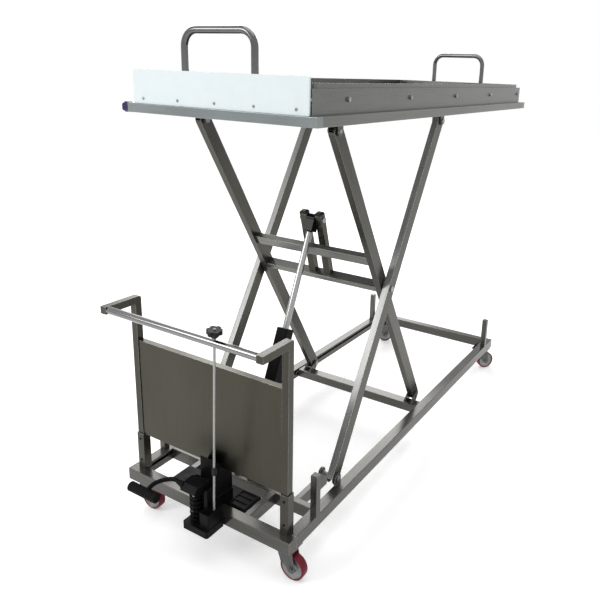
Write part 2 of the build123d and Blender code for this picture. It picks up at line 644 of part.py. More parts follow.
# Inner arms, the same tube, the mid bush running on the outer arm's pin
with BuildPart() as inner_arms:
    with BuildSketch(inner_plane.offset(INNER_X)):
        with Locations((PITCH / 2, 0)):
            SlotCenterToCenter(PITCH, ARM_D)
    extrude(amount=ARM_W)
    with BuildSketch(inner_plane.offset(INNER_X + ARM_WALL)):
        with Locations((PITCH / 2, 0)):
            Rectangle(PITCH + 2 * ARM_D, ARM_D - 2 * ARM_WALL)
    extrude(amount=ARM_W - 2 * ARM_WALL, mode=Mode.SUBTRACT)
    with BuildSketch(inner_plane.offset(INNER_X)):
        with Locations((0, 0), (PITCH / 2, 0), (PITCH, 0)):
            Circle(BUSH_R)
    extrude(amount=ARM_W)
    with BuildSketch(inner_plane.offset(INNER_X)):
        with Locations((0, 0), (PITCH, 0)):
            Circle(PIN_R + SEAT)
        with Locations((PITCH / 2, 0)):
            Circle(PIN_R + RUN)
    extrude(amount=ARM_W, mode=Mode.SUBTRACT)
    mirror(about=Plane.YZ)
inner_arms.part.label = "inner_arms"
export_step(inner_arms.part, "parts/inner_arms.step")

# Headed pins fixed in the outer arms: foot, crossing and top
FOOT_PIN_IN = BEARER_X + BEARER_W / 2 - LUG_T - 2.0
FOOT_PIN_OUT = OUTER_X + ARM_W + SIDE_GAP + LUG_T + 0.3
EAR_OUT = OUTER_X + ARM_W + SIDE_GAP
with BuildPart() as outer_arm_pins:
    with BuildSketch(outer_plane.offset(FOOT_PIN_IN)):
        Circle(PIN_R)
    extrude(amount=FOOT_PIN_OUT - FOOT_PIN_IN)
    with BuildSketch(outer_plane.offset(FOOT_PIN_OUT)):
        Circle(PIN_HEAD_R)
    extrude(amount=PIN_HEAD)
    with BuildSketch(outer_plane.offset(INNER_X + 1.0)):
        with Locations((PITCH / 2, 0)):
            Circle(PIN_R)
    extrude(amount=OUTER_X + ARM_W - INNER_X - 1.0)
    with BuildSketch(outer_plane.offset(OUTER_X + ARM_W)):
        with Locations((PITCH / 2, 0)):
            Circle(PIN_HEAD_R)
    extrude(amount=PIN_HEAD)
    with BuildSketch(outer_plane.offset(INNER_X + ARM_W + 0.5)):
        with Locations((PITCH / 2, 0)):
            Circle(PIN_HEAD_R)
    extrude(amount=OUTER_X - INNER_X - ARM_W - 0.5)
    with BuildSketch(outer_plane.offset(OUTER_X - SIDE_GAP - EAR_T - 2.0)):
        with Locations((PITCH, 0)):
            Circle(PIN_R)
    extrude(amount=ARM_W + 2 * SIDE_GAP + 2 * EAR_T + 2.3)
    with BuildSketch(outer_plane.offset(EAR_OUT + EAR_T + 0.3)):
        with Locations((PITCH, 0)):
            Circle(PIN_HEAD_R)
    extrude(amount=PIN_HEAD)
    mirror(about=Plane.YZ)
outer_arm_pins.part.label = "outer_arm_pins"
export_step(outer_arm_pins.part, "parts/outer_arm_pins.step")

# Lower cross tube between the inner arms, at the crossing
with BuildPart() as lower_cross_tube:
    with BuildSketch(inner_plane.offset(-INNER_X)):
        with Locations((PITCH / 2, 0)):
            RectangleRounded(CROSS_SHORT, CROSS_LONG, 2.0)
            Rectangle(CROSS_SHORT - 2 * SHEET, CROSS_LONG - 2 * SHEET, mode=Mode.SUBTRACT)
    extrude(amount=2 * INNER_X)
lower_cross_tube.part.label = "lower_cross_tube"
export_step(lower_cross_tube.part, "parts/lower_cross_tube.step")

# Two clevis posts on the lower cross tube, which hold the ram's upper pin
POST_ROOT = (PITCH / 2 + CROSS_SHORT / 2, -4.0)
POST_LEAN = math.atan2(CLEVIS_ACROSS - POST_ROOT[1], CLEVIS_ALONG - POST_ROOT[0])
POST_RUN = math.hypot(CLEVIS_ALONG - POST_ROOT[0], CLEVIS_ACROSS - POST_ROOT[1]) + CLEVIS_TIP
post_corner = inner_plane.from_local_coords(Vector(POST_ROOT[0], POST_ROOT[1], 0))
clevis_plane = Plane(
    origin=post_corner,
    x_dir=(
        0,
        -COS_RISE * math.cos(POST_LEAN) - SIN_RISE * math.sin(POST_LEAN),
        SIN_RISE * math.cos(POST_LEAN) - COS_RISE * math.sin(POST_LEAN),
    ),
    z_dir=(1, 0, 0),
)
POST_TUCK = CLEVIS_POST_D / 2 * math.tan(abs(POST_LEAN))
with BuildPart() as clevis_posts:
    with BuildSketch(clevis_plane.offset(CLEVIS_POST_X - CLEVIS_POST_W / 2)):
        with BuildLine():
            Polyline(
                (-POST_TUCK, CLEVIS_POST_D / 2),
                (POST_RUN, CLEVIS_POST_D / 2),
                (POST_RUN, -CLEVIS_POST_D / 2),
                (POST_TUCK, -CLEVIS_POST_D / 2),
                close=True,
            )
        make_face()
        with Locations((POST_RUN - CLEVIS_TIP, 0)):
            Circle(CLEVIS_PIN_R + SEAT, mode=Mode.SUBTRACT)
    extrude(amount=CLEVIS_POST_W)
    mirror(about=Plane.YZ)
clevis_posts.part.label = "clevis_posts"
export_step(clevis_posts.part, "parts/clevis_posts.step")

# Upper cross tube between the inner arms, clear of the posts
POST_FACE = POST_ROOT[1] + CLEVIS_POST_D / 2 / math.cos(POST_LEAN)
UPPER_LOW = UPPER_ALONG - CROSS_LONG / 2 - POST_ROOT[0]
UPPER_ACROSS = POST_FACE + UPPER_LOW * math.tan(POST_LEAN) + UPPER_CLEAR + CROSS_SHORT / 2
with BuildPart() as upper_cross_tube:
    with BuildSketch(inner_plane.offset(-INNER_X)):
        with Locations((UPPER_ALONG, UPPER_ACROSS)):
            RectangleRounded(CROSS_LONG, CROSS_SHORT, 2.0)
            Rectangle(CROSS_LONG - 2 * SHEET, CROSS_SHORT - 2 * SHEET, mode=Mode.SUBTRACT)
    extrude(amount=2 * INNER_X)
upper_cross_tube.part.label = "upper_cross_tube"
export_step(upper_cross_tube.part, "parts/upper_cross_tube.step")

# Caps on the clevis posts
with BuildPart() as clevis_caps:
    with BuildSketch(clevis_plane.offset(CLEVIS_POST_X - CLEVIS_POST_W / 2)):
        with Locations((POST_RUN + CLEVIS_CAP / 2, 0)):
            Rectangle(CLEVIS_CAP, CLEVIS_POST_D)
    extrude(amount=CLEVIS_POST_W)
    chamfer(clevis_caps.faces().sort_by(Axis.Z)[-1].edges(), CLEVIS_BEVEL)
    mirror(about=Plane.YZ)
clevis_caps.part.label = "clevis_caps"
export_step(clevis_caps.part, "parts/clevis_caps.step")

# Headed pins of the inner arms: two at each end, and the clevis pin through both posts and the rod's eye
PIN_END = CLEVIS_POST_X + CLEVIS_POST_W / 2
with BuildPart() as inner_arm_pins:
    with BuildSketch(inner_plane.offset(INNER_X - SIDE_GAP - EAR_T - 0.3)):
        with Locations((0, 0), (PITCH, 0)):
            Circle(PIN_R)
    extrude(amount=ARM_W + 2 * SIDE_GAP + 2 * EAR_T + 1.3)
    with BuildSketch(inner_plane.offset(INNER_X - SIDE_GAP - EAR_T - 0.3)):
        with Locations((0, 0), (PITCH, 0)):
            Circle(PIN_HEAD_R)
    extrude(amount=-PIN_HEAD)
    mirror(about=Plane.YZ)
    with BuildSketch(clevis_plane.offset(-PIN_END)):
        with Locations((POST_RUN - CLEVIS_TIP, 0)):
            Circle(CLEVIS_PIN_R)
    extrude(amount=2 * PIN_END)
    with BuildSketch(clevis_plane.offset(PIN_END)):
        with Locations((POST_RUN - CLEVIS_TIP, 0)):
            Circle(CLEVIS_PIN_R + 3.0)
    extrude(amount=PIN_HEAD)
    with BuildSketch(clevis_plane.offset(-PIN_END)):
        with Locations((POST_RUN - CLEVIS_TIP, 0)):
            Circle(CLEVIS_PIN_R + 3.0)
    extrude(amount=-PIN_HEAD)
inner_arm_pins.part.label = "inner_arm_pins"
export_step(inner_arm_pins.part, "parts/inner_arm_pins.step")

# Plane of the ram: first axis from the foot trunnion to the clevis pin
clevis_point = inner_plane.from_local_coords(Vector(CLEVIS_ALONG, CLEVIS_ACROSS, 0))
ram_foot = Vector(0, RAM_FOOT_Y, RAM_FOOT_Z)
ram_axis = (clevis_point - ram_foot).normalized()
RAM_LENGTH = (clevis_point - ram_foot).length
ram_plane = Plane(origin=ram_foot, x_dir=ram_axis, z_dir=(1, 0, 0))
ram_square = Plane(origin=ram_foot, x_dir=(1, 0, 0), z_dir=ram_axis)

# Chrome rod with its eye and piston
with BuildPart() as ram_rod:
    with BuildSketch(ram_square.offset(RAM_BODY_END - ROD_IN)):
        Circle(ROD_R)
    extrude(amount=RAM_LENGTH - RAM_BODY_END + ROD_IN - ROD_EYE_L + 2.0)
    with BuildSketch(ram_square.offset(RAM_BODY_END - ROD_IN)):
        Circle(RAM_BORE_R - 0.3)
    extrude(amount=26.0)
    with BuildSketch(ram_plane.offset(-ROD_EYE_W / 2)):
        with Locations((RAM_LENGTH, 0)):
            Circle(ROD_EYE_R)
        with Locations((RAM_LENGTH - ROD_EYE_L / 2, 0)):
            Rectangle(ROD_EYE_L, ROD_EYE_W)
        with Locations((RAM_LENGTH, 0)):
            Circle(CLEVIS_PIN_R + RUN, mode=Mode.SUBTRACT)
    extrude(amount=ROD_EYE_W)
ram_rod.part.label = "ram_rod"
export_step(ram_rod.part, "parts/ram_rod.step")

# Square cylinder body with its gland, bore and foot trunnion
with BuildPart() as ram_cylinder:
    with BuildSketch(ram_square.offset(RAM_BODY_START)):
        RectangleRounded(RAM_BODY, RAM_BODY, 4.0)
    extrude(amount=RAM_BODY_END - RAM_BODY_START)
    with BuildSketch(ram_plane.offset(-FOOT_EYE_W / 2)):
        Circle(FOOT_EYE_R)
        with Locations((RAM_BODY_START / 2, 0)):
            Rectangle(RAM_BODY_START + 4.0, 2 * FOOT_EYE_R)
    extrude(amount=FOOT_EYE_W)
    with BuildSketch(ram_plane.offset(-(FOOT_LUG_X + FOOT_LUG_T + 4.0))):
        Circle(TRUNNION_R)
    extrude(amount=2 * (FOOT_LUG_X + FOOT_LUG_T + 4.0))
    with BuildSketch(ram_square.offset(RAM_BORE_START)):
        Circle(RAM_BORE_R)
    extrude(amount=RAM_BODY_END - GLAND - RAM_BORE_START, mode=Mode.SUBTRACT)
    with BuildSketch(ram_square.offset(RAM_BODY_END - GLAND - 1.0)):
        Circle(ROD_R + RUN)
    extrude(amount=GLAND + 2.0, mode=Mode.SUBTRACT)
ram_cylinder.part.label = "ram_cylinder"
export_step(ram_cylinder.part, "parts/ram_cylinder.step")

# Lower carriage: cross tube with tongues in the rail slots and ears for the inner arms
TONGUE_Z = TOP - SLOT_DROP - SLOT_H / 2
with BuildPart() as lower_carriage:
    with BuildSketch(Plane.YZ.offset(-LOW_TUBE_X)):
        with Locations((LOW_TUBE_Y, LOW_TUBE_TOP - LOW_TUBE_H / 2)):
            RectangleRounded(LOW_TUBE_D, LOW_TUBE_H, 2.0)
            Rectangle(LOW_TUBE_D - 2 * RAIL_WALL, LOW_TUBE_H - 2 * RAIL_WALL, mode=Mode.SUBTRACT)
    extrude(amount=2 * LOW_TUBE_X)
    with Locations((LOW_TUBE_X - 3.0, LOW_TUBE_Y, LOW_TUBE_TOP - LOW_TUBE_H / 2)):
        Box(6.0, LOW_TUBE_D, LOW_TUBE_H)
    with Locations((-LOW_TUBE_X + 3.0, LOW_TUBE_Y, LOW_TUBE_TOP - LOW_TUBE_H / 2)):
        Box(6.0, LOW_TUBE_D, LOW_TUBE_H)
    with Locations((0, LOW_TUBE_Y, TONGUE_Z)):
        with GridLocations(2 * LOW_TUBE_X + TONGUE_REACH + 4.0, 1, 2, 1):
            Box(TONGUE_REACH + 4.0, TONGUE_L, TONGUE_H)
    for ear_x in (INNER_X - SIDE_GAP - EAR_T, INNER_X + ARM_W + SIDE_GAP):
        for start in (ear_x, -ear_x - EAR_T):
            with BuildSketch(Plane.YZ.offset(start)):
                with BuildLine():
                    Polyline(
                        (LOW_TUBE_Y - LOW_TUBE_D / 2 + 4.0, LOW_TUBE_TOP - 1.0),
                        (LOW_TUBE_Y + LOW_TUBE_D / 2, LOW_TUBE_TOP - 1.0),
                        (LOW_TUBE_Y + LOW_TUBE_D / 2, LOW_TUBE_TOP - 16.0),
                        (PIVOT_BACK_Y + 8.0, PIVOT_LOW_Z - 13.0),
                        (PIVOT_BACK_Y, PIVOT_LOW_Z + 15.0),
                        (PIVOT_BACK_Y - 12.0, PIVOT_LOW_Z + 9.0),
                        close=True,
                    )
                make_face()
                with Locations((PIVOT_BACK_Y, PIVOT_LOW_Z)):
                    Circle(15.0)
                    Circle(PIN_R + RUN, mode=Mode.SUBTRACT)
            extrude(amount=EAR_T)
lower_carriage.part.label = "lower_carriage"
export_step(lower_carriage.part, "parts/lower_carriage.step")

# Upper carriage: cross tube inside the platform frame with hanging ears for the outer arms
HIGH_TUBE_X = DECK_X - DECK_TUBE - 4.0
HIGH_TUBE_Z = DECK_LOW + DECK_TUBE / 2
with BuildPart() as upper_carriage:
    with BuildSketch(Plane.YZ.offset(-HIGH_TUBE_X)):
        with Locations((PIVOT_BACK_Y, HIGH_TUBE_Z)):
            RectangleRounded(HIGH_TUBE_D, HIGH_TUBE_H, 2.0)
            Rectangle(HIGH_TUBE_D - 2 * DECK_WALL, HIGH_TUBE_H - 2 * DECK_WALL, mode=Mode.SUBTRACT)
    extrude(amount=2 * HIGH_TUBE_X)
    with Locations((HIGH_TUBE_X - 3.0, PIVOT_BACK_Y, HIGH_TUBE_Z)):
        Box(6.0, HIGH_TUBE_D, HIGH_TUBE_H)
    with Locations((-HIGH_TUBE_X + 3.0, PIVOT_BACK_Y, HIGH_TUBE_Z)):
        Box(6.0, HIGH_TUBE_D, HIGH_TUBE_H)
    with Locations((0, PIVOT_BACK_Y, HIGH_TUBE_Z)):
        with GridLocations(2 * HIGH_TUBE_X + 20.0, 1, 2, 1):
            Box(20.0, TONGUE_L, HIGH_TONGUE)
    for ear_x in (OUTER_X - SIDE_GAP - EAR_T, OUTER_X + ARM_W + SIDE_GAP):
        for start in (ear_x, -ear_x - EAR_T):
            with BuildSketch(Plane.YZ.offset(start)):
                with Locations((PIVOT_BACK_Y, (PIVOT_HIGH_Z + HIGH_TUBE_Z - HIGH_TUBE_H / 2 + 1.0) / 2)):
                    Rectangle(30.0, HIGH_TUBE_Z - HIGH_TUBE_H / 2 + 1.0 - PIVOT_HIGH_Z)
                with Locations((PIVOT_BACK_Y, PIVOT_HIGH_Z)):
                    Circle(15.0)
                    Circle(PIN_R + RUN, mode=Mode.SUBTRACT)
            extrude(amount=EAR_T)
upper_carriage.part.label = "upper_carriage"
export_step(upper_carriage.part, "parts/upper_carriage.step")

# Platform side tubes, slotted inside for the upper carriage
with BuildPart() as platform_side_tubes:
    with BuildSketch(Plane.XZ.offset(-(DECK_FRONT + DECK_TUBE))):
        with Locations((DECK_X - DECK_TUBE / 2, HIGH_TUBE_Z)):
            RectangleRounded(DECK_TUBE, DECK_TUBE, 2.0)
            Rectangle(DECK_TUBE - 2 * DECK_WALL, DECK_TUBE - 2 * DECK_WALL, mode=Mode.SUBTRACT)
    extrude(amount=-(DECK_END - DECK_FRONT - 2 * DECK_TUBE))
    with Locations((DECK_X - DECK_TUBE, (DECK_SLOT_START + DECK_SLOT_END) / 2, HIGH_TUBE_Z)):
        Box(4 * DECK_WALL, DECK_SLOT_END - DECK_SLOT_START, DECK_SLOT, mode=Mode.SUBTRACT)
    mirror(about=Plane.YZ)
platform_side_tubes.part.label = "platform_side_tubes"
export_step(platform_side_tubes.part, "parts/platform_side_tubes.step")

# Platform front tube with the fin that backs the board, and the hole for the lock's stem
with BuildPart() as platform_front_tube:
    with BuildSketch(Plane.YZ.offset(-DECK_X)):
        with Locations((DECK_FRONT + DECK_TUBE / 2, HIGH_TUBE_Z)):
            RectangleRounded(DECK_TUBE, DECK_TUBE, 2.0)
    extrude(amount=2 * DECK_X)
    with Locations((0, DECK_FRONT + DECK_TUBE / 2, HIGH_TUBE_Z)):
        Box(
            2 * DECK_X - 2 * DECK_WALL,
            DECK_TUBE - 2 * DECK_WALL,
            DECK_TUBE - 2 * DECK_WALL,
            mode=Mode.SUBTRACT,
        )
    with Locations((0, DECK_FRONT + DECK_TUBE, HIGH_TUBE_Z)):
        with GridLocations(2 * DECK_X - DECK_TUBE, 1, 2, 1):
            Box(20.0, 4 * DECK_WALL, 20.0, mode=Mode.SUBTRACT)
    with Locations((0, BOARD_Y + BOARD_T + BOARD_FIN_T / 2, DECK_TOP + BOARD_FIN_H / 2 - 0.5)):
        Box(2 * BOARD_X - 40.0, BOARD_FIN_T, BOARD_FIN_H + 1.0)
    with BuildSketch(Plane.XZ.offset(-BOARD_Y)):
        with Locations((0, BOARD_SCREW_Z)):
            with GridLocations(BOARD_SCREW_STEP, 1, 5, 1):
                Circle(2.0 + SEAT)
    extrude(amount=-2 * BOARD_T, mode=Mode.SUBTRACT)
    with BuildSketch(Plane.YZ.offset(-DECK_X - 1.0)):
        with Locations((LOCK_Y, LOCK_Z)):
            Circle(LOCK_STEM_R + RUN)
    extrude(amount=DECK_WALL + 2.0, mode=Mode.SUBTRACT)
platform_front_tube.part.label = "platform_front_tube"
export_step(platform_front_tube.part, "parts/platform_front_tube.step")

# Platform rear tube
with BuildPart() as platform_rear_tube:
    with BuildSketch(Plane.YZ.offset(-DECK_X)):
        with Locations((DECK_END - DECK_TUBE / 2, HIGH_TUBE_Z)):
            RectangleRounded(DECK_TUBE, DECK_TUBE, 2.0)
    extrude(amount=2 * DECK_X)
    with Locations((0, DECK_END - DECK_TUBE / 2, HIGH_TUBE_Z)):
        Box(
            2 * DECK_X - 2 * DECK_WALL,
            DECK_TUBE - 2 * DECK_WALL,
            DECK_TUBE - 2 * DECK_WALL,
            mode=Mode.SUBTRACT,
        )
    with Locations((0, DECK_END - DECK_TUBE, HIGH_TUBE_Z)):
        with GridLocations(2 * DECK_X - DECK_TUBE, 1, 2, 1):
            Box(20.0, 4 * DECK_WALL, 20.0, mode=Mode.SUBTRACT)
platform_rear_tube.part.label = "platform_rear_tube"
export_step(platform_rear_tube.part, "parts/platform_rear_tube.step")

# Fixed cross tube of the platform with hanging ears for the inner arms
with BuildPart() as pivot_cross_tube:
    with BuildSketch(Plane.YZ.offset(-(DECK_X - DECK_TUBE))):
        with Locations((PIVOT_FRONT_Y, HIGH_TUBE_Z)):
            RectangleRounded(DECK_TUBE, DECK_TUBE, 2.0)
            Rectangle(DECK_TUBE - 2 * DECK_WALL, DECK_TUBE - 2 * DECK_WALL, mode=Mode.SUBTRACT)
    extrude(amount=2 * (DECK_X - DECK_TUBE))
    for ear_x in (INNER_X - SIDE_GAP - EAR_T, INNER_X + ARM_W + SIDE_GAP):
        for start in (ear_x, -ear_x - EAR_T):
            with BuildSketch(Plane.YZ.offset(start)):
                with Locations((PIVOT_FRONT_Y, (PIVOT_HIGH_Z + DECK_LOW + 1.0) / 2)):
                    Rectangle(28.0, DECK_LOW + 1.0 - PIVOT_HIGH_Z)
                with Locations((PIVOT_FRONT_Y, PIVOT_HIGH_Z)):
                    Circle(15.0)
                    Circle(PIN_R + RUN, mode=Mode.SUBTRACT)
            extrude(amount=EAR_T)
pivot_cross_tube.part.label = "pivot_cross_tube"
export_step(pivot_cross_tube.part, "parts/pivot_cross_tube.step")

# Side panels of folded sheet on the platform's side tubes
with BuildPart() as side_panels:
    with BuildSketch(Plane.XZ.offset(-SIDE_START)):
        with BuildLine():
            Polyline(
                (PANEL_X, DECK_TOP),
                (PANEL_X, DECK_TOP + SIDE_H),
                (PANEL_X - SIDE_T, DECK_TOP + SIDE_H),
                (PANEL_X - SIDE_T, DECK_TOP + SIDE_T),
                (PANEL_X - SIDE_FOOT, DECK_TOP + SIDE_T),
                (PANEL_X - SIDE_FOOT, DECK_TOP),
                close=True,
            )
        make_face()
    extrude(amount=-(SIDE_END - SIDE_START))
    with BuildSketch(Plane.YZ.offset(PANEL_X - 2 * SIDE_T)):
        with Locations((ROLLER_START + ROLLER_STEP * (ROLLER_COUNT - 1) / 2, ROLLER_Z)):
            with GridLocations(ROLLER_STEP, 1, ROLLER_COUNT, 1):
                Circle(AXLE_R + SEAT)
    extrude(amount=4 * SIDE_T, mode=Mode.SUBTRACT)
    mirror(about=Plane.YZ)
side_panels.part.label = "side_panels"
export_step(side_panels.part, "parts/side_panels.step")

# White end board on the platform's front tube
with BuildPart() as front_board:
    with BuildSketch(Plane.XZ.offset(-BOARD_Y)):
        with Locations((0, DECK_TOP + BOARD_H / 2)):
            RectangleRounded(2 * BOARD_X, BOARD_H, 3.0)
        with Locations((0, BOARD_SCREW_Z)):
            with GridLocations(BOARD_SCREW_STEP, 1, 5, 1):
                Circle(2.0 + SEAT, mode=Mode.SUBTRACT)
    extrude(amount=-BOARD_T)
front_board.part.label = "front_board"
export_step(front_board.part, "parts/front_board.step")

# Screws that hold the board to the fin
with BuildPart() as board_screws:
    with BuildSketch(Plane.XZ.offset(-BOARD_Y)):
        with Locations((0, BOARD_SCREW_Z)):
            with GridLocations(BOARD_SCREW_STEP, 1, 5, 1):
                Circle(5.0)
    extrude(amount=2.5)
    with BuildSketch(Plane.XZ.offset(-BOARD_Y)):
        with Locations((0, BOARD_SCREW_Z)):
            with GridLocations(BOARD_SCREW_STEP, 1, 5, 1):
                Circle(2.0)
    extrude(amount=-(BOARD_T + BOARD_FIN_T + 1.0))
board_screws.part.label = "board_screws"
export_step(board_screws.part, "parts/board_screws.step")

# Roller axles, each held in the side panels by a nut at either end
with BuildPart() as roller_axles:
    with BuildSketch(Plane.YZ.offset(-PANEL_X)):
        with Locations((ROLLER_START + ROLLER_STEP * (ROLLER_COUNT - 1) / 2, ROLLER_Z)):
            with GridLocations(ROLLER_STEP, 1, ROLLER_COUNT, 1):
                Circle(AXLE_R)
    extrude(amount=2 * PANEL_X)
    with BuildSketch(Plane.YZ.offset(PANEL_X)):
        with Locations((ROLLER_START + ROLLER_STEP * (ROLLER_COUNT - 1) / 2, ROLLER_Z)):
            with GridLocations(ROLLER_STEP, 1, ROLLER_COUNT, 1):
                RegularPolygon(NUT_R, 6)
    extrude(amount=NUT_T)
    with BuildSketch(Plane.YZ.offset(-PANEL_X)):
        with Locations((ROLLER_START + ROLLER_STEP * (ROLLER_COUNT - 1) / 2, ROLLER_Z)):
            with GridLocations(ROLLER_STEP, 1, ROLLER_COUNT, 1):
                RegularPolygon(NUT_R, 6)
    extrude(amount=-NUT_T)
roller_axles.part.label = "roller_axles"
export_step(roller_axles.part, "parts/roller_axles.step")

# Deck rollers
for number in range(ROLLER_COUNT):
    with BuildPart() as deck_roller:
        with BuildSketch(Plane.YZ.offset(-ROLLER_HALF)):
            with Locations((ROLLER_START + ROLLER_STEP * number, ROLLER_Z)):
                Circle(ROLLER_R)
                Circle(AXLE_R + RUN, mode=Mode.SUBTRACT)
        extrude(amount=2 * ROLLER_HALF)
        chamfer(deck_roller.edges().filter_by(GeomType.CIRCLE).sort_by(SortBy.RADIUS)[-2:], 1.5)
    deck_roller.part.label = f"deck_roller_{number + 1}"
    export_step(deck_roller.part, f"parts/deck_roller_{number + 1}.step")

# Body tray of folded sheet, which rides on the rollers
with BuildPart() as body_tray:
    with BuildSketch(Plane.XY.offset(TRAY_LOW)):
        with Locations((0, (TRAY_FRONT + TRAY_END) / 2)):
            RectangleRounded(2 * TRAY_X, TRAY_END - TRAY_FRONT, 10.0)
    extrude(amount=TRAY_TOP - TRAY_LOW)
    with BuildSketch(Plane.XY.offset(TRAY_LOW + TRAY_T)):
        with Locations((0, (TRAY_FRONT + TRAY_END) / 2)):
            RectangleRounded(2 * TRAY_X - 2 * TRAY_T, TRAY_END - TRAY_FRONT - 2 * TRAY_T, 8.0)
    extrude(amount=TRAY_TOP - TRAY_LOW, mode=Mode.SUBTRACT)
body_tray.part.label = "body_tray"
export_step(body_tray.part, "parts/body_tray.step")

# Loop handles of bent tube on both ends of the tray
with BuildPart() as tray_handles:
    for loop_y in (TRAY_FRONT - LOOP_R, TRAY_END + LOOP_R):
        with BuildLine() as loop_line:
            FilletPolyline(
                (-LOOP_HALF, loop_y, LOOP_LOW),
                (-LOOP_HALF, loop_y, LOOP_TOP),
                (LOOP_HALF, loop_y, LOOP_TOP),
                (LOOP_HALF, loop_y, LOOP_LOW),
                radius=LOOP_BEND,
            )
        with BuildSketch(Plane.XY.offset(LOOP_LOW)):
            with Locations((-LOOP_HALF, loop_y)):
                Circle(LOOP_R)
                Circle(LOOP_R - LOOP_WALL, mode=Mode.SUBTRACT)
        sweep(path=loop_line.wire())
tray_handles.part.label = "tray_handles"
export_step(tray_handles.part, "parts/tray_handles.step")

# Tray lock: lobed plastic knob on a stem in the front tube's left end
with BuildPart() as tray_lock_knob:
    with BuildSketch(Plane.YZ.offset(-DECK_X - 0.5)):
        with Locations((LOCK_Y, LOCK_Z)):
            Circle(LOCK_R)
            with PolarLocations(LOCK_R + 3.0, 6):
                Circle(5.0, mode=Mode.SUBTRACT)
    extrude(amount=-(LOCK_OUT - DECK_X - 0.5))
    with BuildSketch(Plane.YZ.offset(-DECK_X - 1.0)):
        with Locations((LOCK_Y, LOCK_Z)):
            Circle(LOCK_STEM_R)
    extrude(amount=22.0)
tray_lock_knob.part.label = "tray_lock_knob"
export_step(tray_lock_knob.part, "parts/tray_lock_knob.step")

# Pump body: foot plate, plunger barrel, valve block, pedal ears and the head over the front tube in one casting
with BuildPart() as pump_body:
    with Locations(((PUMP_LEFT + PUMP_RIGHT) / 2, FRONT - PUMP_D / 2, PUMP_PLATE_TOP - PUMP_PLATE_H / 2)):
        Box(PUMP_RIGHT - PUMP_LEFT, PUMP_D, PUMP_PLATE_H)
    chamfer(pump_body.edges().filter_by(Axis.Z), 5.0)
    with BuildSketch(Plane.XY.offset(PUMP_PLATE_TOP)):
        with Locations((PLUNGER_X, PLUNGER_Y)):
            Circle(BARREL_R)
    extrude(amount=BARREL_TOP - PUMP_PLATE_TOP)
    with BuildSketch(Plane.XY.offset(PUMP_PLATE_TOP)):
        with Locations(((BLOCK_LEFT + PUMP_RIGHT - 2.0) / 2, FRONT - 38.0)):
            RectangleRounded(PUMP_RIGHT - 2.0 - BLOCK_LEFT, 68.0, 4.0)
    extrude(amount=BLOCK_TOP - PUMP_PLATE_TOP)
    for start in (PLUNGER_X - PEDAL_EAR_IN - PEDAL_EAR_T, PLUNGER_X + PEDAL_EAR_IN):
        with BuildSketch(Plane.YZ.offset(start)):
            with Locations(((PEDAL_Y - PEDAL_EAR_R + FRONT) / 2, (PUMP_PLATE_TOP + PEDAL_Z) / 2 - 0.5)):
                Rectangle(FRONT - PEDAL_Y + PEDAL_EAR_R, PEDAL_Z - PUMP_PLATE_TOP + 1.0)
            with Locations((PEDAL_Y, PEDAL_Z)):
                Circle(PEDAL_EAR_R)
                Circle(PEDAL_PIN_R + RUN, mode=Mode.SUBTRACT)
        extrude(amount=PEDAL_EAR_T)
    with BuildSketch(Plane.XY.offset(PUMP_PLATE_TOP)):
        with Locations(((COLUMN_LEFT + COLUMN_RIGHT) / 2, FRONT - COLUMN_D / 2)):
            Rectangle(COLUMN_RIGHT - COLUMN_LEFT, COLUMN_D)
    extrude(amount=COLUMN_TOP - PUMP_PLATE_TOP)
    with BuildSketch(Plane.YZ.offset(TOWER_LEFT)):
        with BuildLine():
            Polyline(
                (FRONT, TOP),
                (FRONT, TOWER_TOP),
                (PANEL_Y - 1.0, TOWER_TOP - TOWER_FALL * (PANEL_Y - 1.0 - FRONT)),
                (PANEL_Y - 1.0, PANEL_LOW - 2.0),
                (FRONT + (TOWER_TOP - PANEL_LOW + 2.0) / TOWER_FALL, PANEL_LOW - 2.0),
                (TOWER_BACK, TOWER_TOP - TOWER_FALL * (TOWER_BACK - FRONT)),
                (TOWER_BACK, TOP + LID_T),
                (LID_FRONT - 1.0, TOP + LID_T),
                (LID_FRONT - 1.0, TOP),
                close=True,
            )
        make_face()
    extrude(amount=TOWER_RIGHT - TOWER_LEFT)
    with BuildSketch(Plane.YZ.offset(TOWER_RIGHT - 1.0)):
        with BuildLine():
            Polyline(
                (FRONT, TOP),
                (FRONT, TOP + TOWER_FOOT_H),
                (TOWER_BACK, TOP + TOWER_FOOT_H - 8.0),
                (TOWER_BACK, TOP + LID_T),
                (LID_FRONT - 1.0, TOP + LID_T),
                (LID_FRONT - 1.0, TOP),
                close=True,
            )
        make_face()
    extrude(amount=TOWER_FOOT + 1.0)
    with BuildSketch(Plane.XY.offset(BARREL_TOP)):
        with Locations((PLUNGER_X, PLUNGER_Y)):
            Circle(PLUNGER_R + RUN)
    extrude(amount=-75.0, mode=Mode.SUBTRACT)
    with BuildSketch(Plane(origin=RELEASE_FOOT, z_dir=RELEASE_AXIS)):
        Circle(RELEASE_R + RUN)
    extrude(amount=RELEASE_SEAT, both=True, mode=Mode.SUBTRACT)
pump_body.part.label = "pump_body"
export_step(pump_body.part, "parts/pump_body.step")

# Plunger with the head that holds the spring down
with BuildPart() as pump_plunger:
    with BuildSketch(Plane.XY.offset(TOP - 10.0)):
        with Locations((PLUNGER_X, PLUNGER_Y)):
            Circle(PLUNGER_R)
    extrude(amount=HEAD_LOW - TOP + 10.0)
    with BuildSketch(Plane.XY.offset(HEAD_LOW)):
        with Locations((PLUNGER_X, PLUNGER_Y)):
            Circle(HEAD_R)
    extrude(amount=HEAD_T)
    chamfer(pump_plunger.faces().sort_by(Axis.Z)[-1].edges(), 1.5)
pump_plunger.part.label = "pump_plunger"
export_step(pump_plunger.part, "parts/pump_plunger.step")

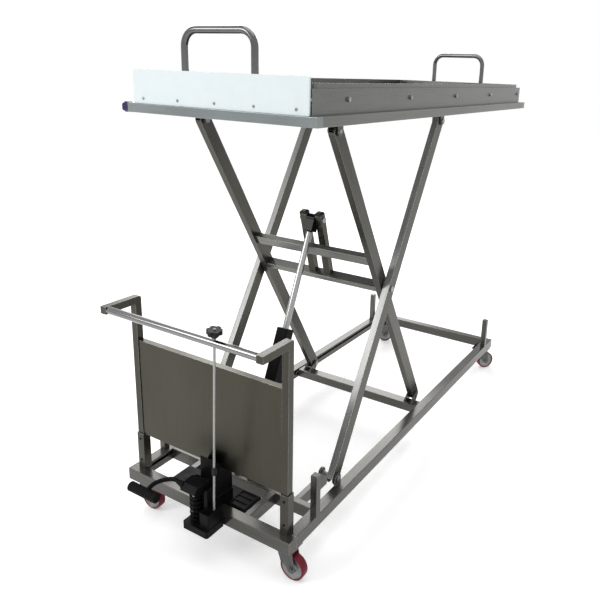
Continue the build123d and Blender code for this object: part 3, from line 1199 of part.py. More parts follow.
# Pump return spring: one wire wound round the barrel
COIL_LOW = PUMP_PLATE_TOP + WIRE_R + COIL_GAP
COIL_RISE = HEAD_LOW - WIRE_R - COIL_GAP - COIL_LOW
COIL_PITCH = COIL_RISE / COIL_TURNS
QUARTERS = 4 * COIL_TURNS


def coil_point(turn_share):
    turned = 2 * math.pi * COIL_TURNS * turn_share
    return Vector(
        PLUNGER_X + COIL_R * math.cos(turned),
        PLUNGER_Y + COIL_R * math.sin(turned),
        COIL_LOW + COIL_RISE * turn_share,
    )


def coil_heading(turn_share):
    turned = 2 * math.pi * COIL_TURNS * turn_share
    rise = COIL_PITCH / (2 * math.pi)
    return Vector(-COIL_R * math.sin(turned), COIL_R * math.cos(turned), rise).normalized()


coil_samples = [coil_point(index / 720) for index in range(721)]
least_gap = min(
    (coil_samples[one] - coil_samples[two]).length - 2 * WIRE_R
    for one in range(0, 721, 3)
    for two in range(one + 60, 721, 3)
)
print(f"pump spring least gap to itself {least_gap:.2f} mm")
with BuildPart() as pump_spring:
    with BuildLine() as coil_line:
        for quarter in range(QUARTERS):
            first = coil_point(quarter / QUARTERS)
            last = coil_point((quarter + 1) / QUARTERS)
            out = coil_heading(quarter / QUARTERS)
            home = coil_heading((quarter + 1) / QUARTERS)
            chord = last - first
            both = out + home
            bend = 2 * (1 - out.dot(home))
            reach = (math.sqrt(chord.dot(both) ** 2 + bend * chord.dot(chord)) - chord.dot(both)) / bend
            meet = (first + last + (out - home) * reach) * 0.5
            TangentArc(first, meet, tangent=out)
            TangentArc(meet, last, tangent=chord - both * reach)
    with BuildSketch(Plane(origin=coil_point(0), z_dir=coil_heading(0))):
        Circle(WIRE_R)
    sweep(path=coil_line.wire())
pump_spring.part.label = "pump_spring"
export_step(pump_spring.part, "parts/pump_spring.step")

# Pedal lever: two fork plates under a folded web, cross bars, and the bent bar with the grip's core on its end
with BuildPart() as pedal_lever:
    for start in (PLUNGER_X - FORK_IN - FORK_PLATE, PLUNGER_X + FORK_IN):
        with BuildSketch(Plane.YZ.offset(start)):
            with BuildLine():
                Polyline(
                    (PEDAL_Y, PEDAL_Z + 9.0),
                    (LEVER_BACK, LEVER_TOP),
                    (NOSE_Y + LEVER_SLOPE, LEVER_TOP),
                    (NOSE_Y, LEVER_TOP - LEVER_SLOPE),
                    (NOSE_Y, NOSE_LOW),
                    (PLUNGER_Y - 12.0, LEVER_LOW),
                    (PLUNGER_Y + 10.0, LEVER_LOW),
                    (PEDAL_Y, PEDAL_Z - 9.0),
                    close=True,
                )
            make_face()
            with Locations((PEDAL_Y, PEDAL_Z)):
                Circle(9.0)
        extrude(amount=FORK_PLATE)
    with BuildSketch(Plane.YZ.offset(PLUNGER_X - FORK_IN - 1.0)):
        with BuildLine():
            Polyline(
                (LEVER_BACK, LEVER_TOP),
                (NOSE_Y + LEVER_SLOPE, LEVER_TOP),
                (NOSE_Y, LEVER_TOP - LEVER_SLOPE),
                (NOSE_Y, NOSE_LOW),
                (NOSE_Y + LEVER_WEB, NOSE_LOW),
                (NOSE_Y + LEVER_WEB, LEVER_TOP - LEVER_SLOPE - LEVER_WEB / 2),
                (NOSE_Y + LEVER_SLOPE + LEVER_WEB / 2, LEVER_TOP - LEVER_WEB),
                (LEVER_BACK, LEVER_TOP - LEVER_WEB),
                close=True,
            )
        make_face()
    extrude(amount=2 * FORK_IN + 2.0)
    with BuildSketch(Plane.YZ.offset(PLUNGER_X - FORK_IN - FORK_PLATE)):
        with Locations((PEDAL_Y, PEDAL_Z)):
            Circle(PEDAL_PIN_R)
        with Locations((PLUNGER_Y, PRESS_Z)):
            Circle(PRESS_R)
    extrude(amount=2 * (FORK_IN + FORK_PLATE))
    with BuildLine() as pedal_line:
        Spline(
            PEDAL_ROOT,
            PEDAL_ROOT + Vector(-42.0, 1.0, 3.0),
            PEDAL_ROOT + Vector(-78.0, -13.0, -4.0),
            PEDAL_ROOT + Vector(-102.0, -36.0, -15.0),
            PEDAL_JOIN,
            tangents=(Vector(-1, 0, 0), -PEDAL_JOIN_AXIS),
        )
    with BuildSketch(Plane(origin=PEDAL_ROOT, z_dir=(-1, 0, 0))):
        Circle(PEDAL_BAR_R)
    sweep(path=pedal_line.wire())
    with BuildSketch(Plane(origin=PEDAL_ROOT, z_dir=(-1, 0, 0.07))):
        Circle(PEDAL_BAR_R + BAR_SWELL)
    extrude(amount=BAR_SWELL_L, taper=math.degrees(math.atan2(BAR_SWELL, BAR_SWELL_L)))
    with BuildSketch(Plane.YZ.offset(GRIP_LEFT + 6.0)):
        with Locations((GRIP_Y, GRIP_Z)):
            Circle(PEDAL_CORE_R)
    extrude(amount=GRIP_RIGHT - GRIP_LEFT - 7.0)
pedal_lever.part.label = "pedal_lever"
export_step(pedal_lever.part, "parts/pedal_lever.step")

# Ribbed rubber grip pushed over the core of the pedal bar
GRIP_L = GRIP_RIGHT - GRIP_LEFT
with BuildPart() as pedal_grip:
    with BuildSketch(Plane.YZ.offset(GRIP_LEFT)):
        with Locations((GRIP_Y, GRIP_Z)):
            Circle(GRIP_R)
    extrude(amount=GRIP_L)
    for rib in range(GRIP_RIBS):
        with BuildSketch(Plane.YZ.offset(GRIP_LEFT + 4.0 + rib * (GRIP_L - 8.0) / GRIP_RIBS)):
            with Locations((GRIP_Y, GRIP_Z)):
                Circle(GRIP_RIB_R)
        extrude(amount=(GRIP_L - 8.0) / GRIP_RIBS / 2)
    with BuildSketch(Plane.YZ.offset(GRIP_RIGHT)):
        with Locations((GRIP_Y, GRIP_Z)):
            Circle(PEDAL_CORE_R + SEAT)
    extrude(amount=-(GRIP_L - 5.0), mode=Mode.SUBTRACT)
    with BuildSketch(Plane(origin=PEDAL_JOIN, z_dir=PEDAL_JOIN_AXIS)):
        Circle(PEDAL_BAR_R + 2.0)
    extrude(amount=2 * GRIP_R, mode=Mode.SUBTRACT)
pedal_grip.part.label = "pedal_grip"
export_step(pedal_grip.part, "parts/pedal_grip.step")

# Oil tank in the pump bay, with a ridged lid that laps over the left tube
with BuildPart() as oil_tank:
    with BuildSketch(Plane.XY.offset(TOP - TANK_H)):
        with Locations(((TANK_LEFT + TANK_RIGHT) / 2, (FRONT + RAIL_W + TANK_BACK) / 2)):
            Rectangle(TANK_RIGHT - TANK_LEFT, TANK_BACK - FRONT - RAIL_W)
    extrude(amount=TANK_H)
    with BuildSketch(Plane.XY.offset(TOP)):
        with Locations(((LID_LEFT + TANK_RIGHT) / 2, (LID_FRONT + TANK_BACK) / 2)):
            Rectangle(TANK_RIGHT - LID_LEFT, TANK_BACK - LID_FRONT)
    extrude(amount=LID_T)
    rim_x = TANK_RIGHT - 4.0 - LID_RIB_LEFT
    rim_y = TANK_BACK - LID_FRONT - 8.0
    with BuildSketch(Plane.XY.offset(TOP + LID_T)):
        with Locations((LID_RIB_LEFT + rim_x / 2, (LID_FRONT + TANK_BACK) / 2)):
            Rectangle(rim_x, rim_y)
            Rectangle(rim_x - 2 * LID_RIB_W, rim_y - 2 * LID_RIB_W, mode=Mode.SUBTRACT)
            with GridLocations(0, rim_y / 3, 1, 2):
                Rectangle(rim_x - LID_RIB_W, LID_RIB_W)
    extrude(amount=LID_RIB_H)
oil_tank.part.label = "oil_tank"
export_step(oil_tank.part, "parts/oil_tank.step")

# Release rod from the push bar to the pump's valve, with its clamped coupling and star knob
release_plane = Plane(origin=RELEASE_FOOT, z_dir=RELEASE_AXIS)
with BuildPart() as release_rod:
    with BuildSketch(release_plane.offset(-RELEASE_SEAT + 1.0)):
        Circle(RELEASE_R)
    extrude(amount=RELEASE_L + RELEASE_SEAT - 1.0)
release_rod.part.label = "release_rod"
export_step(release_rod.part, "parts/release_rod.step")

with BuildPart() as rod_coupling:
    with BuildSketch(release_plane.offset(COUPLING_AT)):
        Circle(COUPLING_R)
        Circle(RELEASE_R + SEAT, mode=Mode.SUBTRACT)
    extrude(amount=COUPLING_L)
rod_coupling.part.label = "rod_coupling"
export_step(rod_coupling.part, "parts/rod_coupling.step")

with BuildPart() as release_knob:
    with BuildSketch(release_plane.offset(RELEASE_L - 2.0 - KNOB_HEAD)):
        Circle(KNOB_R)
        with PolarLocations(KNOB_R + 4.0, KNOB_LOBES):
            Circle(8.0, mode=Mode.SUBTRACT)
    extrude(amount=KNOB_HEAD)
    with BuildSketch(release_plane.offset(RELEASE_L - 2.0 - KNOB_HEAD - KNOB_NECK)):
        Circle(KNOB_R * 0.4)
    extrude(amount=KNOB_NECK, taper=-20.0)
    with BuildSketch(release_plane.offset(RELEASE_L - 2.0 - KNOB_HEAD - KNOB_NECK)):
        Circle(RELEASE_R + SEAT)
    extrude(amount=KNOB_HEAD + KNOB_NECK + 2.0, mode=Mode.SUBTRACT)
release_knob.part.label = "release_knob"
export_step(release_knob.part, "parts/release_knob.step")
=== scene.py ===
import json
import math

import bmesh
import bpy
from mathutils import Matrix, Vector


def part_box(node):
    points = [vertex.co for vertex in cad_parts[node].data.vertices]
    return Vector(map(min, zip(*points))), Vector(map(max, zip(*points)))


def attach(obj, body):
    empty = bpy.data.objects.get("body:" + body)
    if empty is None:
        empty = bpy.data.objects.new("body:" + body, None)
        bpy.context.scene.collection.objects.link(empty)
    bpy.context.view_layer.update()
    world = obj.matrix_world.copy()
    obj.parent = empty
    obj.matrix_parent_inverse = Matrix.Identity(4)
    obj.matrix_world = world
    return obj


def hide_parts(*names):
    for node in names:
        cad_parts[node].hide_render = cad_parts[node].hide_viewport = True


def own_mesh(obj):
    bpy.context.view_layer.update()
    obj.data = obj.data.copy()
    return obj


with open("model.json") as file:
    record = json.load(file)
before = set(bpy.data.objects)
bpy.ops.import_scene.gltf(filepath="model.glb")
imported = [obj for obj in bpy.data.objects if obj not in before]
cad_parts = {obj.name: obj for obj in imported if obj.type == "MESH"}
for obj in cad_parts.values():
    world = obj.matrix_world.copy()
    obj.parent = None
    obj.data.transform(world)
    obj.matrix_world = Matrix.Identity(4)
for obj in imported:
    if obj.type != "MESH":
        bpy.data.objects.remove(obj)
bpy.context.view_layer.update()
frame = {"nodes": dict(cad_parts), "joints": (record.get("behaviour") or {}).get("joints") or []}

nodes = frame["nodes"]
joints = {joint["name"]: joint for joint in frame["joints"]}

# Base frame: rectangular stainless tube, brushed along each tube's length.
# It is cut and welded into one floor frame. The side rails carry the slot that the lower carriage
# runs in, and the cross tubes tie them together.
BRUSH_PITCH = 0.0011
BRUSH_LENGTH = 0.16
BRUSH_DEPTH = 0.00006
BRUSH_STRENGTH = 0.5
SMUDGE_SIZE = 0.22
SMUDGE_LENGTH = 0.55
TONE_RANGE = (0.75, 1.25)
CLOUD_RANGE = (0.3, 0.7)
ROUNDED_EDGE = 0.0012
# How far from a corner the painted edge highlight reaches
EDGE_HIGHLIGHT_RANGE = (0.995, 0.86)
EDGE_SAMPLES = 4
STEEL_DARK = (0.055, 0.053, 0.047, 1)
STEEL_LIGHT = (0.106, 0.104, 0.096, 1)
# Colour of the painted highlight on the corners of the metals
STEEL_EDGE_HIGHLIGHT = (0.42, 0.42, 0.41, 1)
STEEL_ROUGH = (0.16, 0.32)
BRUSHED_METAL = 0.72
FULL_METAL = 1.0
ALONG_X = (0, 0, math.pi / 2)
ALONG_Y = (0, 0, 0)
ALONG_Z = (math.pi / 2, 0, 0)


def link(tree, start, output, end, socket):
    tree.links.new(start.outputs[output], end.inputs[socket])


def blank_material(name):
    """A new material with its node tree and main shader."""
    material = bpy.data.materials.new(name)
    material.use_nodes = True
    tree = material.node_tree
    return material, tree, tree.nodes["Principled BSDF"]


def stretched_noise(tree, turn, pitch, length, detail):
    """Noise drawn out along one direction of the piece, as a brush or a belt leaves it."""
    place = tree.nodes.new("ShaderNodeTexCoord")
    lay = tree.nodes.new("ShaderNodeMapping")
    lay.vector_type = "TEXTURE"
    lay.inputs["Rotation"].default_value = turn
    lay.inputs["Scale"].default_value = (pitch, length, pitch)
    noise = tree.nodes.new("ShaderNodeTexNoise")
    noise.inputs["Scale"].default_value = 1
    noise.inputs["Detail"].default_value = detail
    link(tree, place, "Object", lay, "Vector")
    link(tree, lay, "Vector", noise, "Vector")
    return noise


def spread(tree, source, output, low, high, start=0, end=1):
    """A value stretched to another range."""
    ranged = tree.nodes.new("ShaderNodeMapRange")
    ranged.inputs["From Min"].default_value = low
    ranged.inputs["From Max"].default_value = high
    ranged.inputs["To Min"].default_value = start
    ranged.inputs["To Max"].default_value = end
    link(tree, source, output, ranged, "Value")
    return ranged


def blended(tree, low, high, mask):
    """A colour between two, by a mask."""
    mix = tree.nodes.new("ShaderNodeMix")
    mix.data_type = "RGBA"
    mix.inputs["A"].default_value = low
    mix.inputs["B"].default_value = high
    link(tree, mask, "Result", mix, 0)
    return mix


def edge_highlight_and_round(tree, shader, colour, bright):
    """Gives the shader its colour with a painted highlight on the corners, and shades the corners
    rounded.
    """
    rounded = tree.nodes.new("ShaderNodeBevel")
    rounded.samples = EDGE_SAMPLES
    rounded.inputs["Radius"].default_value = ROUNDED_EDGE
    flat = tree.nodes.new("ShaderNodeNewGeometry")
    facing = tree.nodes.new("ShaderNodeVectorMath")
    facing.operation = "DOT_PRODUCT"
    link(tree, rounded, "Normal", facing, 0)
    link(tree, flat, "Normal", facing, 1)
    # The corners are painted towards the highlight colour: a painted highlight
    edge_highlighted = blended(tree, bright, bright, spread(tree, facing, "Value", *EDGE_HIGHLIGHT_RANGE))
    link(tree, colour, "Result", edge_highlighted, "A")
    link(tree, edge_highlighted, "Result", shader, "Base Color")
    link(tree, rounded, "Normal", shader, "Normal")
    return rounded


def roughen(tree, shader, rounded, height, strength, depth):
    """Fine relief on top of the rounded corners."""
    bump = tree.nodes.new("ShaderNodeBump")
    bump.inputs["Strength"].default_value = strength
    bump.inputs["Distance"].default_value = depth
    link(tree, height, "Fac", bump, "Height")
    link(tree, rounded, "Normal", bump, "Normal")
    link(tree, bump, "Normal", shader, "Normal")


def brushed_steel(name, turn, dark=STEEL_DARK, light=STEEL_LIGHT, rough=STEEL_ROUGH,
                  metal=BRUSHED_METAL):
    """Brushed stainless: fine lines along the piece, handling smudges, painted highlights on the
    edges.
    """
    material, tree, shader = blank_material(name)
    shader.inputs["Metallic"].default_value = metal
    lines = stretched_noise(tree, turn, BRUSH_PITCH, BRUSH_LENGTH, detail=3)
    smudge = stretched_noise(tree, turn, SMUDGE_SIZE, SMUDGE_LENGTH, detail=4)
    tone = tree.nodes.new("ShaderNodeMath")
    tone.operation = "ADD"
    link(tree, lines, "Fac", tone, 0)
    link(tree, smudge, "Fac", tone, 1)
    colour = blended(tree, dark, light, spread(tree, tone, "Value", *TONE_RANGE))
    rounded = edge_highlight_and_round(tree, shader, colour, STEEL_EDGE_HIGHLIGHT)
    link(tree, spread(tree, smudge, "Fac", *CLOUD_RANGE, *rough), "Result", shader, "Roughness")
    roughen(tree, shader, rounded, lines, BRUSH_STRENGTH, BRUSH_DEPTH)
    return material


def finish(names, material):
    """Gives CAD nodes their finish."""
    for name in names:
        slots = nodes[name].data.materials
        slots.clear()
        slots.append(material)


steel_along_y = brushed_steel("stainless tube brushed along y", ALONG_Y)
steel_along_x = brushed_steel("stainless tube brushed along x", ALONG_X)
steel_along_z = brushed_steel("stainless tube brushed along z", ALONG_Z)
finish(["side_rails", "bay_tubes", "bearer_bars"], steel_along_y)
finish(["front_cross_tube", "rear_cross_tube", "pump_cross_tube"], steel_along_x)

# Stop posts: short upright stainless tubes that the lowered platform rests on.
# They are welded to the side rails, and a plate cap closes each one.
finish(["stop_posts"], steel_along_z)
finish(["stop_caps"], steel_along_x)

# Castors: zinc-plated pressed forks and plates, bolted under the corners of the base.
# The spangled plating is a little dull, and the fork swivels under its plate.
ZINC_DARK = (0.075, 0.077, 0.075, 1)
ZINC_LIGHT = (0.128, 0.131, 0.128, 1)
ZINC_ROUGH = (0.26, 0.48)
ZINC_CLOUD = 0.03
SPANGLE = 160.0
SPANGLE_RANGE = (0, 0.8)
CORNERS = [end + "_" + side for end in ("front", "rear") for side in ("left", "right")]


def zinc_plating():
    """Zinc with cloudy patches and a fine spangle in its gloss."""
    material, tree, shader = blank_material("zinc plating")
    shader.inputs["Metallic"].default_value = FULL_METAL
    place = tree.nodes.new("ShaderNodeTexCoord")
    spangle = tree.nodes.new("ShaderNodeTexVoronoi")
    spangle.inputs["Scale"].default_value = SPANGLE
    link(tree, place, "Object", spangle, "Vector")
    cloud = stretched_noise(tree, ALONG_Y, ZINC_CLOUD, ZINC_CLOUD, detail=4)
    colour = blended(tree, ZINC_DARK, ZINC_LIGHT, spread(tree, cloud, "Fac", *CLOUD_RANGE))
    # The corners take the steel's painted edge highlight
    edge_highlight_and_round(tree, shader, colour, STEEL_EDGE_HIGHLIGHT)
    dull = spread(tree, spangle, "Distance", *SPANGLE_RANGE, *ZINC_ROUGH)
    link(tree, dull, "Result", shader, "Roughness")
    return material


zinc = zinc_plating()
finish(["castor_plates"], zinc)
finish(["castor_fork_" + corner for corner in CORNERS], zinc)

# Castor wheels: a wine-red polyurethane tread, cast round a grey core with a pressed-in bearing.
# The tread is crowned with rounded shoulders, and the core is dished on both sides.
WHEEL_HALF = 0.015
TREAD_R = 0.045
TREAD_DEPTH = 0.0065
SHOULDER = 0.003
DISH = 0.005
BEARING_R = 0.0135
BORE_R = 0.0056
LATHE_STEPS = 72
SHARP_ANGLE = math.radians(35)
TREAD_DARK = (0.105, 0.006, 0.015, 1)
TREAD_LIGHT = (0.185, 0.012, 0.029, 1)
CORE_DARK = (0.170, 0.172, 0.172, 1)
CORE_LIGHT = (0.320, 0.323, 0.320, 1)
MOTTLE_SIZE = 0.035
GLOSS_RANGE = (0.25, 0.75)
GRAIN_STRENGTH = 0.6


def turned(name, rings, materials, centre, axis):
    """A closed turned piece, from a loop of (distance along the axis, radius, material number)."""
    mesh = bmesh.new()
    across = Vector(axis).normalized()
    out = across.orthogonal().normalized()
    turns = [Matrix.Rotation(math.tau * i / LATHE_STEPS, 3, across) for i in range(LATHE_STEPS)]
    spokes = [out @ turn for turn in turns]
    loops = []
    for along, radius, _ in rings:
        middle = Vector(centre) + across * along
        loops.append([mesh.verts.new(middle + spoke * radius) for spoke in spokes])
    for place, (_, _, part) in enumerate(rings):
        inner = loops[place]
        outer = loops[(place + 1) % len(rings)]
        for i in range(LATHE_STEPS):
            after = (i + 1) % LATHE_STEPS
            face = mesh.faces.new((inner[i], inner[after], outer[after], outer[i]))
            face.material_index = part
            face.smooth = True
    bmesh.ops.recalc_face_normals(mesh, faces=mesh.faces)
    data = bpy.data.meshes.new(name)
    mesh.to_mesh(data)
    mesh.free()
    for material in materials:
        data.materials.append(material)
    data.set_sharp_from_angle(angle=SHARP_ANGLE)
    piece = bpy.data.objects.new(name, data)
    bpy.context.scene.collection.objects.link(piece)
    return piece


def cast_surface(name, dark, light, rough, grain, depth, metal=0.0, edge=None, gloss=0.5):
    """A moulded, cast or painted surface: mottled, unevenly glossy, fine grained, with painted
    highlights on the edges.
    """
    material, tree, shader = blank_material(name)
    shader.inputs["Metallic"].default_value = metal
    shader.inputs["Specular IOR Level"].default_value = gloss
    cloud = stretched_noise(tree, ALONG_Y, MOTTLE_SIZE, MOTTLE_SIZE, detail=5)
    fine = stretched_noise(tree, ALONG_Y, grain, grain, detail=2)
    colour = blended(tree, dark, light, spread(tree, cloud, "Fac", *CLOUD_RANGE))
    # Corners take a painted highlight: the edge colour if one is given, else the light colour
    rounded = edge_highlight_and_round(tree, shader, colour, edge or light)
    link(tree, spread(tree, cloud, "Fac", *GLOSS_RANGE, *rough), "Result", shader, "Roughness")
    roughen(tree, shader, rounded, fine, GRAIN_STRENGTH, depth)
    return material


red_tread = cast_surface("wine red polyurethane", TREAD_DARK, TREAD_LIGHT,
                         rough=(0.30, 0.46), grain=0.0009, depth=0.00005, gloss=0.15)
wheel_core = cast_surface("grey cast core", CORE_DARK, CORE_LIGHT,
                          rough=(0.30, 0.50), grain=0.0012, depth=0.00008, metal=0.85)
bearing_steel = brushed_steel("bearing steel", ALONG_Z, CORE_DARK, CORE_LIGHT, rough=(0.12, 0.24))
TREAD, CORE, BEARING = range(3)
# Half of the wheel's section, from the middle of the tread round to the bearing's bore
half_section = [
    (0.0, TREAD_R, TREAD),
    (WHEEL_HALF - SHOULDER * 1.2, TREAD_R - 0.0004, TREAD),
    (WHEEL_HALF - SHOULDER * 0.5, TREAD_R - SHOULDER * 0.3, TREAD),
    (WHEEL_HALF - SHOULDER * 0.1, TREAD_R - SHOULDER * 0.8, TREAD),
    (WHEEL_HALF, TREAD_R - SHOULDER * 1.4, TREAD),
    (WHEEL_HALF - 0.0004, TREAD_R - TREAD_DEPTH + 0.001, TREAD),
    (WHEEL_HALF - 0.0014, TREAD_R - TREAD_DEPTH, CORE),
    (WHEEL_HALF - DISH, TREAD_R - TREAD_DEPTH - 0.0015, CORE),
    (WHEEL_HALF - DISH - 0.0008, TREAD_R - TREAD_DEPTH - 0.004, CORE),
    (WHEEL_HALF - DISH - 0.0004, BEARING_R + 0.004, CORE),
    (WHEEL_HALF - DISH * 0.4, BEARING_R + 0.0022, CORE),
    (WHEEL_HALF - 0.0006, BEARING_R + 0.0014, CORE),
    (WHEEL_HALF - 0.0006, BEARING_R, CORE),
    (WHEEL_HALF - 0.0018, BEARING_R - 0.0004, BEARING),
    (WHEEL_HALF - 0.0018, BEARING_R - 0.0022, BEARING),
    (WHEEL_HALF - 0.0026, BEARING_R - 0.0030, BEARING),
    (WHEEL_HALF - 0.0012, BEARING_R - 0.0040, BEARING),
    (WHEEL_HALF - 0.0008, BORE_R, BEARING),
]
# The mirrored half runs the other way, so each of its rows takes the material of the row after it
whole_section = [(-along, radius, part) for along, radius, part in reversed(half_section)]
for index in range(len(whole_section) - 1):
    along, radius, _ = whole_section[index]
    whole_section[index] = (along, radius, whole_section[index + 1][2])
whole_section[-1] = half_section[0]
whole_section += half_section[1:]
for corner in CORNERS:
    roll = joints["castor_roll_" + corner]
    wheel = turned("wheel_" + corner, whole_section, [red_tread, wheel_core, bearing_steel],
                   roll["pos_m"], roll["axis"])
    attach(wheel, "castor_wheel_" + corner)
    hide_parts("castor_wheel_" + corner)

# Handle frame: square stainless tube that turns forward at the top, brushed along its length.
# Its uprights stand in sockets that are welded to the base.
# The handle steel is a darker, browner copy of the tube steel: painted shade
HANDLE_DARK = (0.036, 0.033, 0.025, 1)
HANDLE_LIGHT = (0.058, 0.054, 0.042, 1)
handle_steel = brushed_steel("handle tube brushed along z", ALONG_Z, HANDLE_DARK, HANDLE_LIGHT)
finish(["handle_frames", "upright_sockets"], handle_steel)

# Push bar: polished round stainless tube, brighter than the brushed frame.
# It is welded between the two ends of the handle frame.
BAR_DARK = (0.150, 0.150, 0.150, 1)
BAR_LIGHT = (0.240, 0.240, 0.237, 1)
POLISH_ROUGH = (0.07, 0.16)
bright_along_x = brushed_steel("polished tube along x", ALONG_X, BAR_DARK, BAR_LIGHT,
                               POLISH_ROUGH, FULL_METAL)
finish(["push_bar"], bright_along_x)

# Front panel: one stainless sheet with its four edges folded back, brushed upright.
# It stands on the sockets between the uprights.
# The panel sheet is a darker copy of the stainless: painted shade
PANEL_DARK = (0.049, 0.047, 0.036, 1)
PANEL_LIGHT = (0.064, 0.061, 0.048, 1)
PANEL_ROUGH = (0.24, 0.38)
panel_steel = brushed_steel("panel sheet brushed along z", ALONG_Z, PANEL_DARK, PANEL_LIGHT,
                            PANEL_ROUGH, FULL_METAL)
finish(["front_panel"], panel_steel)

# Set screws: blackened steel grub screws with domed ends and hexagon sockets.
# Two in the front of each socket hold the handle frame's upright.
BLACK_DARK = (0.0022, 0.0023, 0.0027, 1)
BLACK_LIGHT = (0.0048, 0.0050, 0.0057, 1)
# Painted highlight on the corners of the black parts
BLACK_EDGE_HIGHLIGHT = (0.030, 0.030, 0.034, 1)
black_metal = cast_surface("black painted metal", BLACK_DARK, BLACK_LIGHT, rough=(0.30, 0.52),
                           grain=0.0016, depth=0.00012, edge=BLACK_EDGE_HIGHLIGHT, gloss=0.06)
SET_SCREWS = 2
SET_SCREW_R = 0.004
SET_SCREW_H = 0.003
SET_SCREW_DOME = 0.0065
SET_KEY_R = 0.0021
KEY_DEPTH = 0.0018
KEY_SIDES = 6
ROUND_STEPS = 40


def pattern(name, sizes):
    """An empty Geometry Nodes tree with a named input for each size."""
    tree = bpy.data.node_groups.new(name, "GeometryNodeTree")
    tree.interface.new_socket("Geometry", in_out="OUTPUT", socket_type="NodeSocketGeometry")
    for size, value in sizes.items():
        kind = "NodeSocketInt" if isinstance(value, int) else "NodeSocketFloat"
        if isinstance(value, Vector):
            kind = "NodeSocketVector"
        tree.interface.new_socket(size, in_out="INPUT", socket_type=kind)
    given = tree.nodes.new("NodeGroupInput")
    out = tree.nodes.new("NodeGroupOutput")
    return tree, given, out


def made_by(tree, shape, output, out, material, sizes, name):
    """Ends a tree with its material, and returns the plain mesh it makes at the given sizes."""
    real = tree.nodes.new("GeometryNodeRealizeInstances")
    painted = tree.nodes.new("GeometryNodeSetMaterial")
    painted.inputs["Material"].default_value = material
    link(tree, shape, output, real, "Geometry")
    link(tree, real, "Geometry", painted, "Geometry")
    link(tree, painted, "Geometry", out, "Geometry")
    piece = bpy.data.objects.new(name, bpy.data.meshes.new(name))
    bpy.context.scene.collection.objects.link(piece)
    modifier = piece.modifiers.new("pattern", "NODES")
    modifier.node_group = tree
    for item in tree.interface.items_tree:
        if item.in_out == "INPUT":
            modifier[item.identifier] = sizes[item.name]
    graph = bpy.context.evaluated_depsgraph_get()
    mesh = bpy.data.meshes.new_from_object(piece.evaluated_get(graph))
    piece.modifiers.clear()
    piece.data = mesh
    mesh.name = name
    mesh.set_sharp_from_angle(angle=SHARP_ANGLE)
    return piece


def keyed_screws(name, material, radius, height, dome, key, count, first, step):
    """A row of screws with domed heads and hexagon sockets, heads towards -Y."""
    sizes = {
        "Head radius": radius, "Head height": height,
        "Dome radius": dome, "Dome place": Vector((0, 0, height / 2 - dome)),
        "Key radius": key, "Key depth": 2 * KEY_DEPTH, "Key place": Vector((0, 0, height / 2)),
        "Count": count, "First": first, "Step": step,
    }
    tree, given, out = pattern(name, sizes)
    head = tree.nodes.new("GeometryNodeMeshCylinder")
    head.inputs["Vertices"].default_value = ROUND_STEPS
    link(tree, given, "Head radius", head, "Radius")
    link(tree, given, "Head height", head, "Depth")
    ball = tree.nodes.new("GeometryNodeMeshUVSphere")
    ball.inputs["Segments"].default_value = ROUND_STEPS
    ball.inputs["Rings"].default_value = ROUND_STEPS // 2
    link(tree, given, "Dome radius", ball, "Radius")
    lowered = tree.nodes.new("GeometryNodeTransform")
    link(tree, ball, "Mesh", lowered, "Geometry")
    link(tree, given, "Dome place", lowered, "Translation")
    domed = tree.nodes.new("GeometryNodeMeshBoolean")
    domed.operation = "INTERSECT"
    domed.solver = "EXACT"
    link(tree, head, "Mesh", domed, "Mesh 2")
    link(tree, lowered, "Geometry", domed, "Mesh 2")
    socket = tree.nodes.new("GeometryNodeMeshCylinder")
    socket.inputs["Vertices"].default_value = KEY_SIDES
    link(tree, given, "Key radius", socket, "Radius")
    link(tree, given, "Key depth", socket, "Depth")
    raised = tree.nodes.new("GeometryNodeTransform")
    link(tree, socket, "Mesh", raised, "Geometry")
    link(tree, given, "Key place", raised, "Translation")
    cut = tree.nodes.new("GeometryNodeMeshBoolean")
    cut.operation = "DIFFERENCE"
    cut.solver = "EXACT"
    link(tree, domed, "Mesh", cut, "Mesh 1")
    link(tree, raised, "Geometry", cut, "Mesh 2")
    row = tree.nodes.new("GeometryNodeMeshLine")
    link(tree, given, "Count", row, "Count")
    link(tree, given, "First", row, "Start Location")
    link(tree, given, "Step", row, "Offset")
    placed = tree.nodes.new("GeometryNodeInstanceOnPoints")
    placed.inputs["Rotation"].default_value = (math.pi / 2, 0, 0)
    link(tree, row, "Mesh", placed, "Points")
    link(tree, cut, "Mesh", placed, "Instance")
    return made_by(tree, placed, "Instances", out, material, sizes, name)


screw_low, screw_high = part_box("socket_screws")
for side, edge in (("left", screw_low.x + SET_SCREW_R), ("right", screw_high.x - SET_SCREW_R)):
    first = Vector((edge, screw_low.y + SET_SCREW_H / 2, screw_low.z + SET_SCREW_R))
    step = Vector((0, 0, screw_high.z - screw_low.z - 2 * SET_SCREW_R))
    screws = keyed_screws("set_screws_" + side, black_metal, SET_SCREW_R, SET_SCREW_H,
                          SET_SCREW_DOME, SET_KEY_R, SET_SCREWS, first, step)
    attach(screws, "base")
    if side == "left":
        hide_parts("socket_screws")

# Pump: cast body on a foot plate, with its plunger, pedal lever and oil tank, all painted black.
# The body stands over the front cross tube, and the tank lies behind it in the bay of the base.
finish(["pump_body", "oil_tank", "pedal_lever", "pump_plunger"], black_metal)

# Pump spring: round black spring wire, wound into an open coil.
# It stands round the plunger and rides on the base; it doesn't squeeze as the pedal goes down.
WIRE_R = 0.003
WIRE_STEPS = 16
COIL_TURNS = 6.0
COIL_STEPS = 28


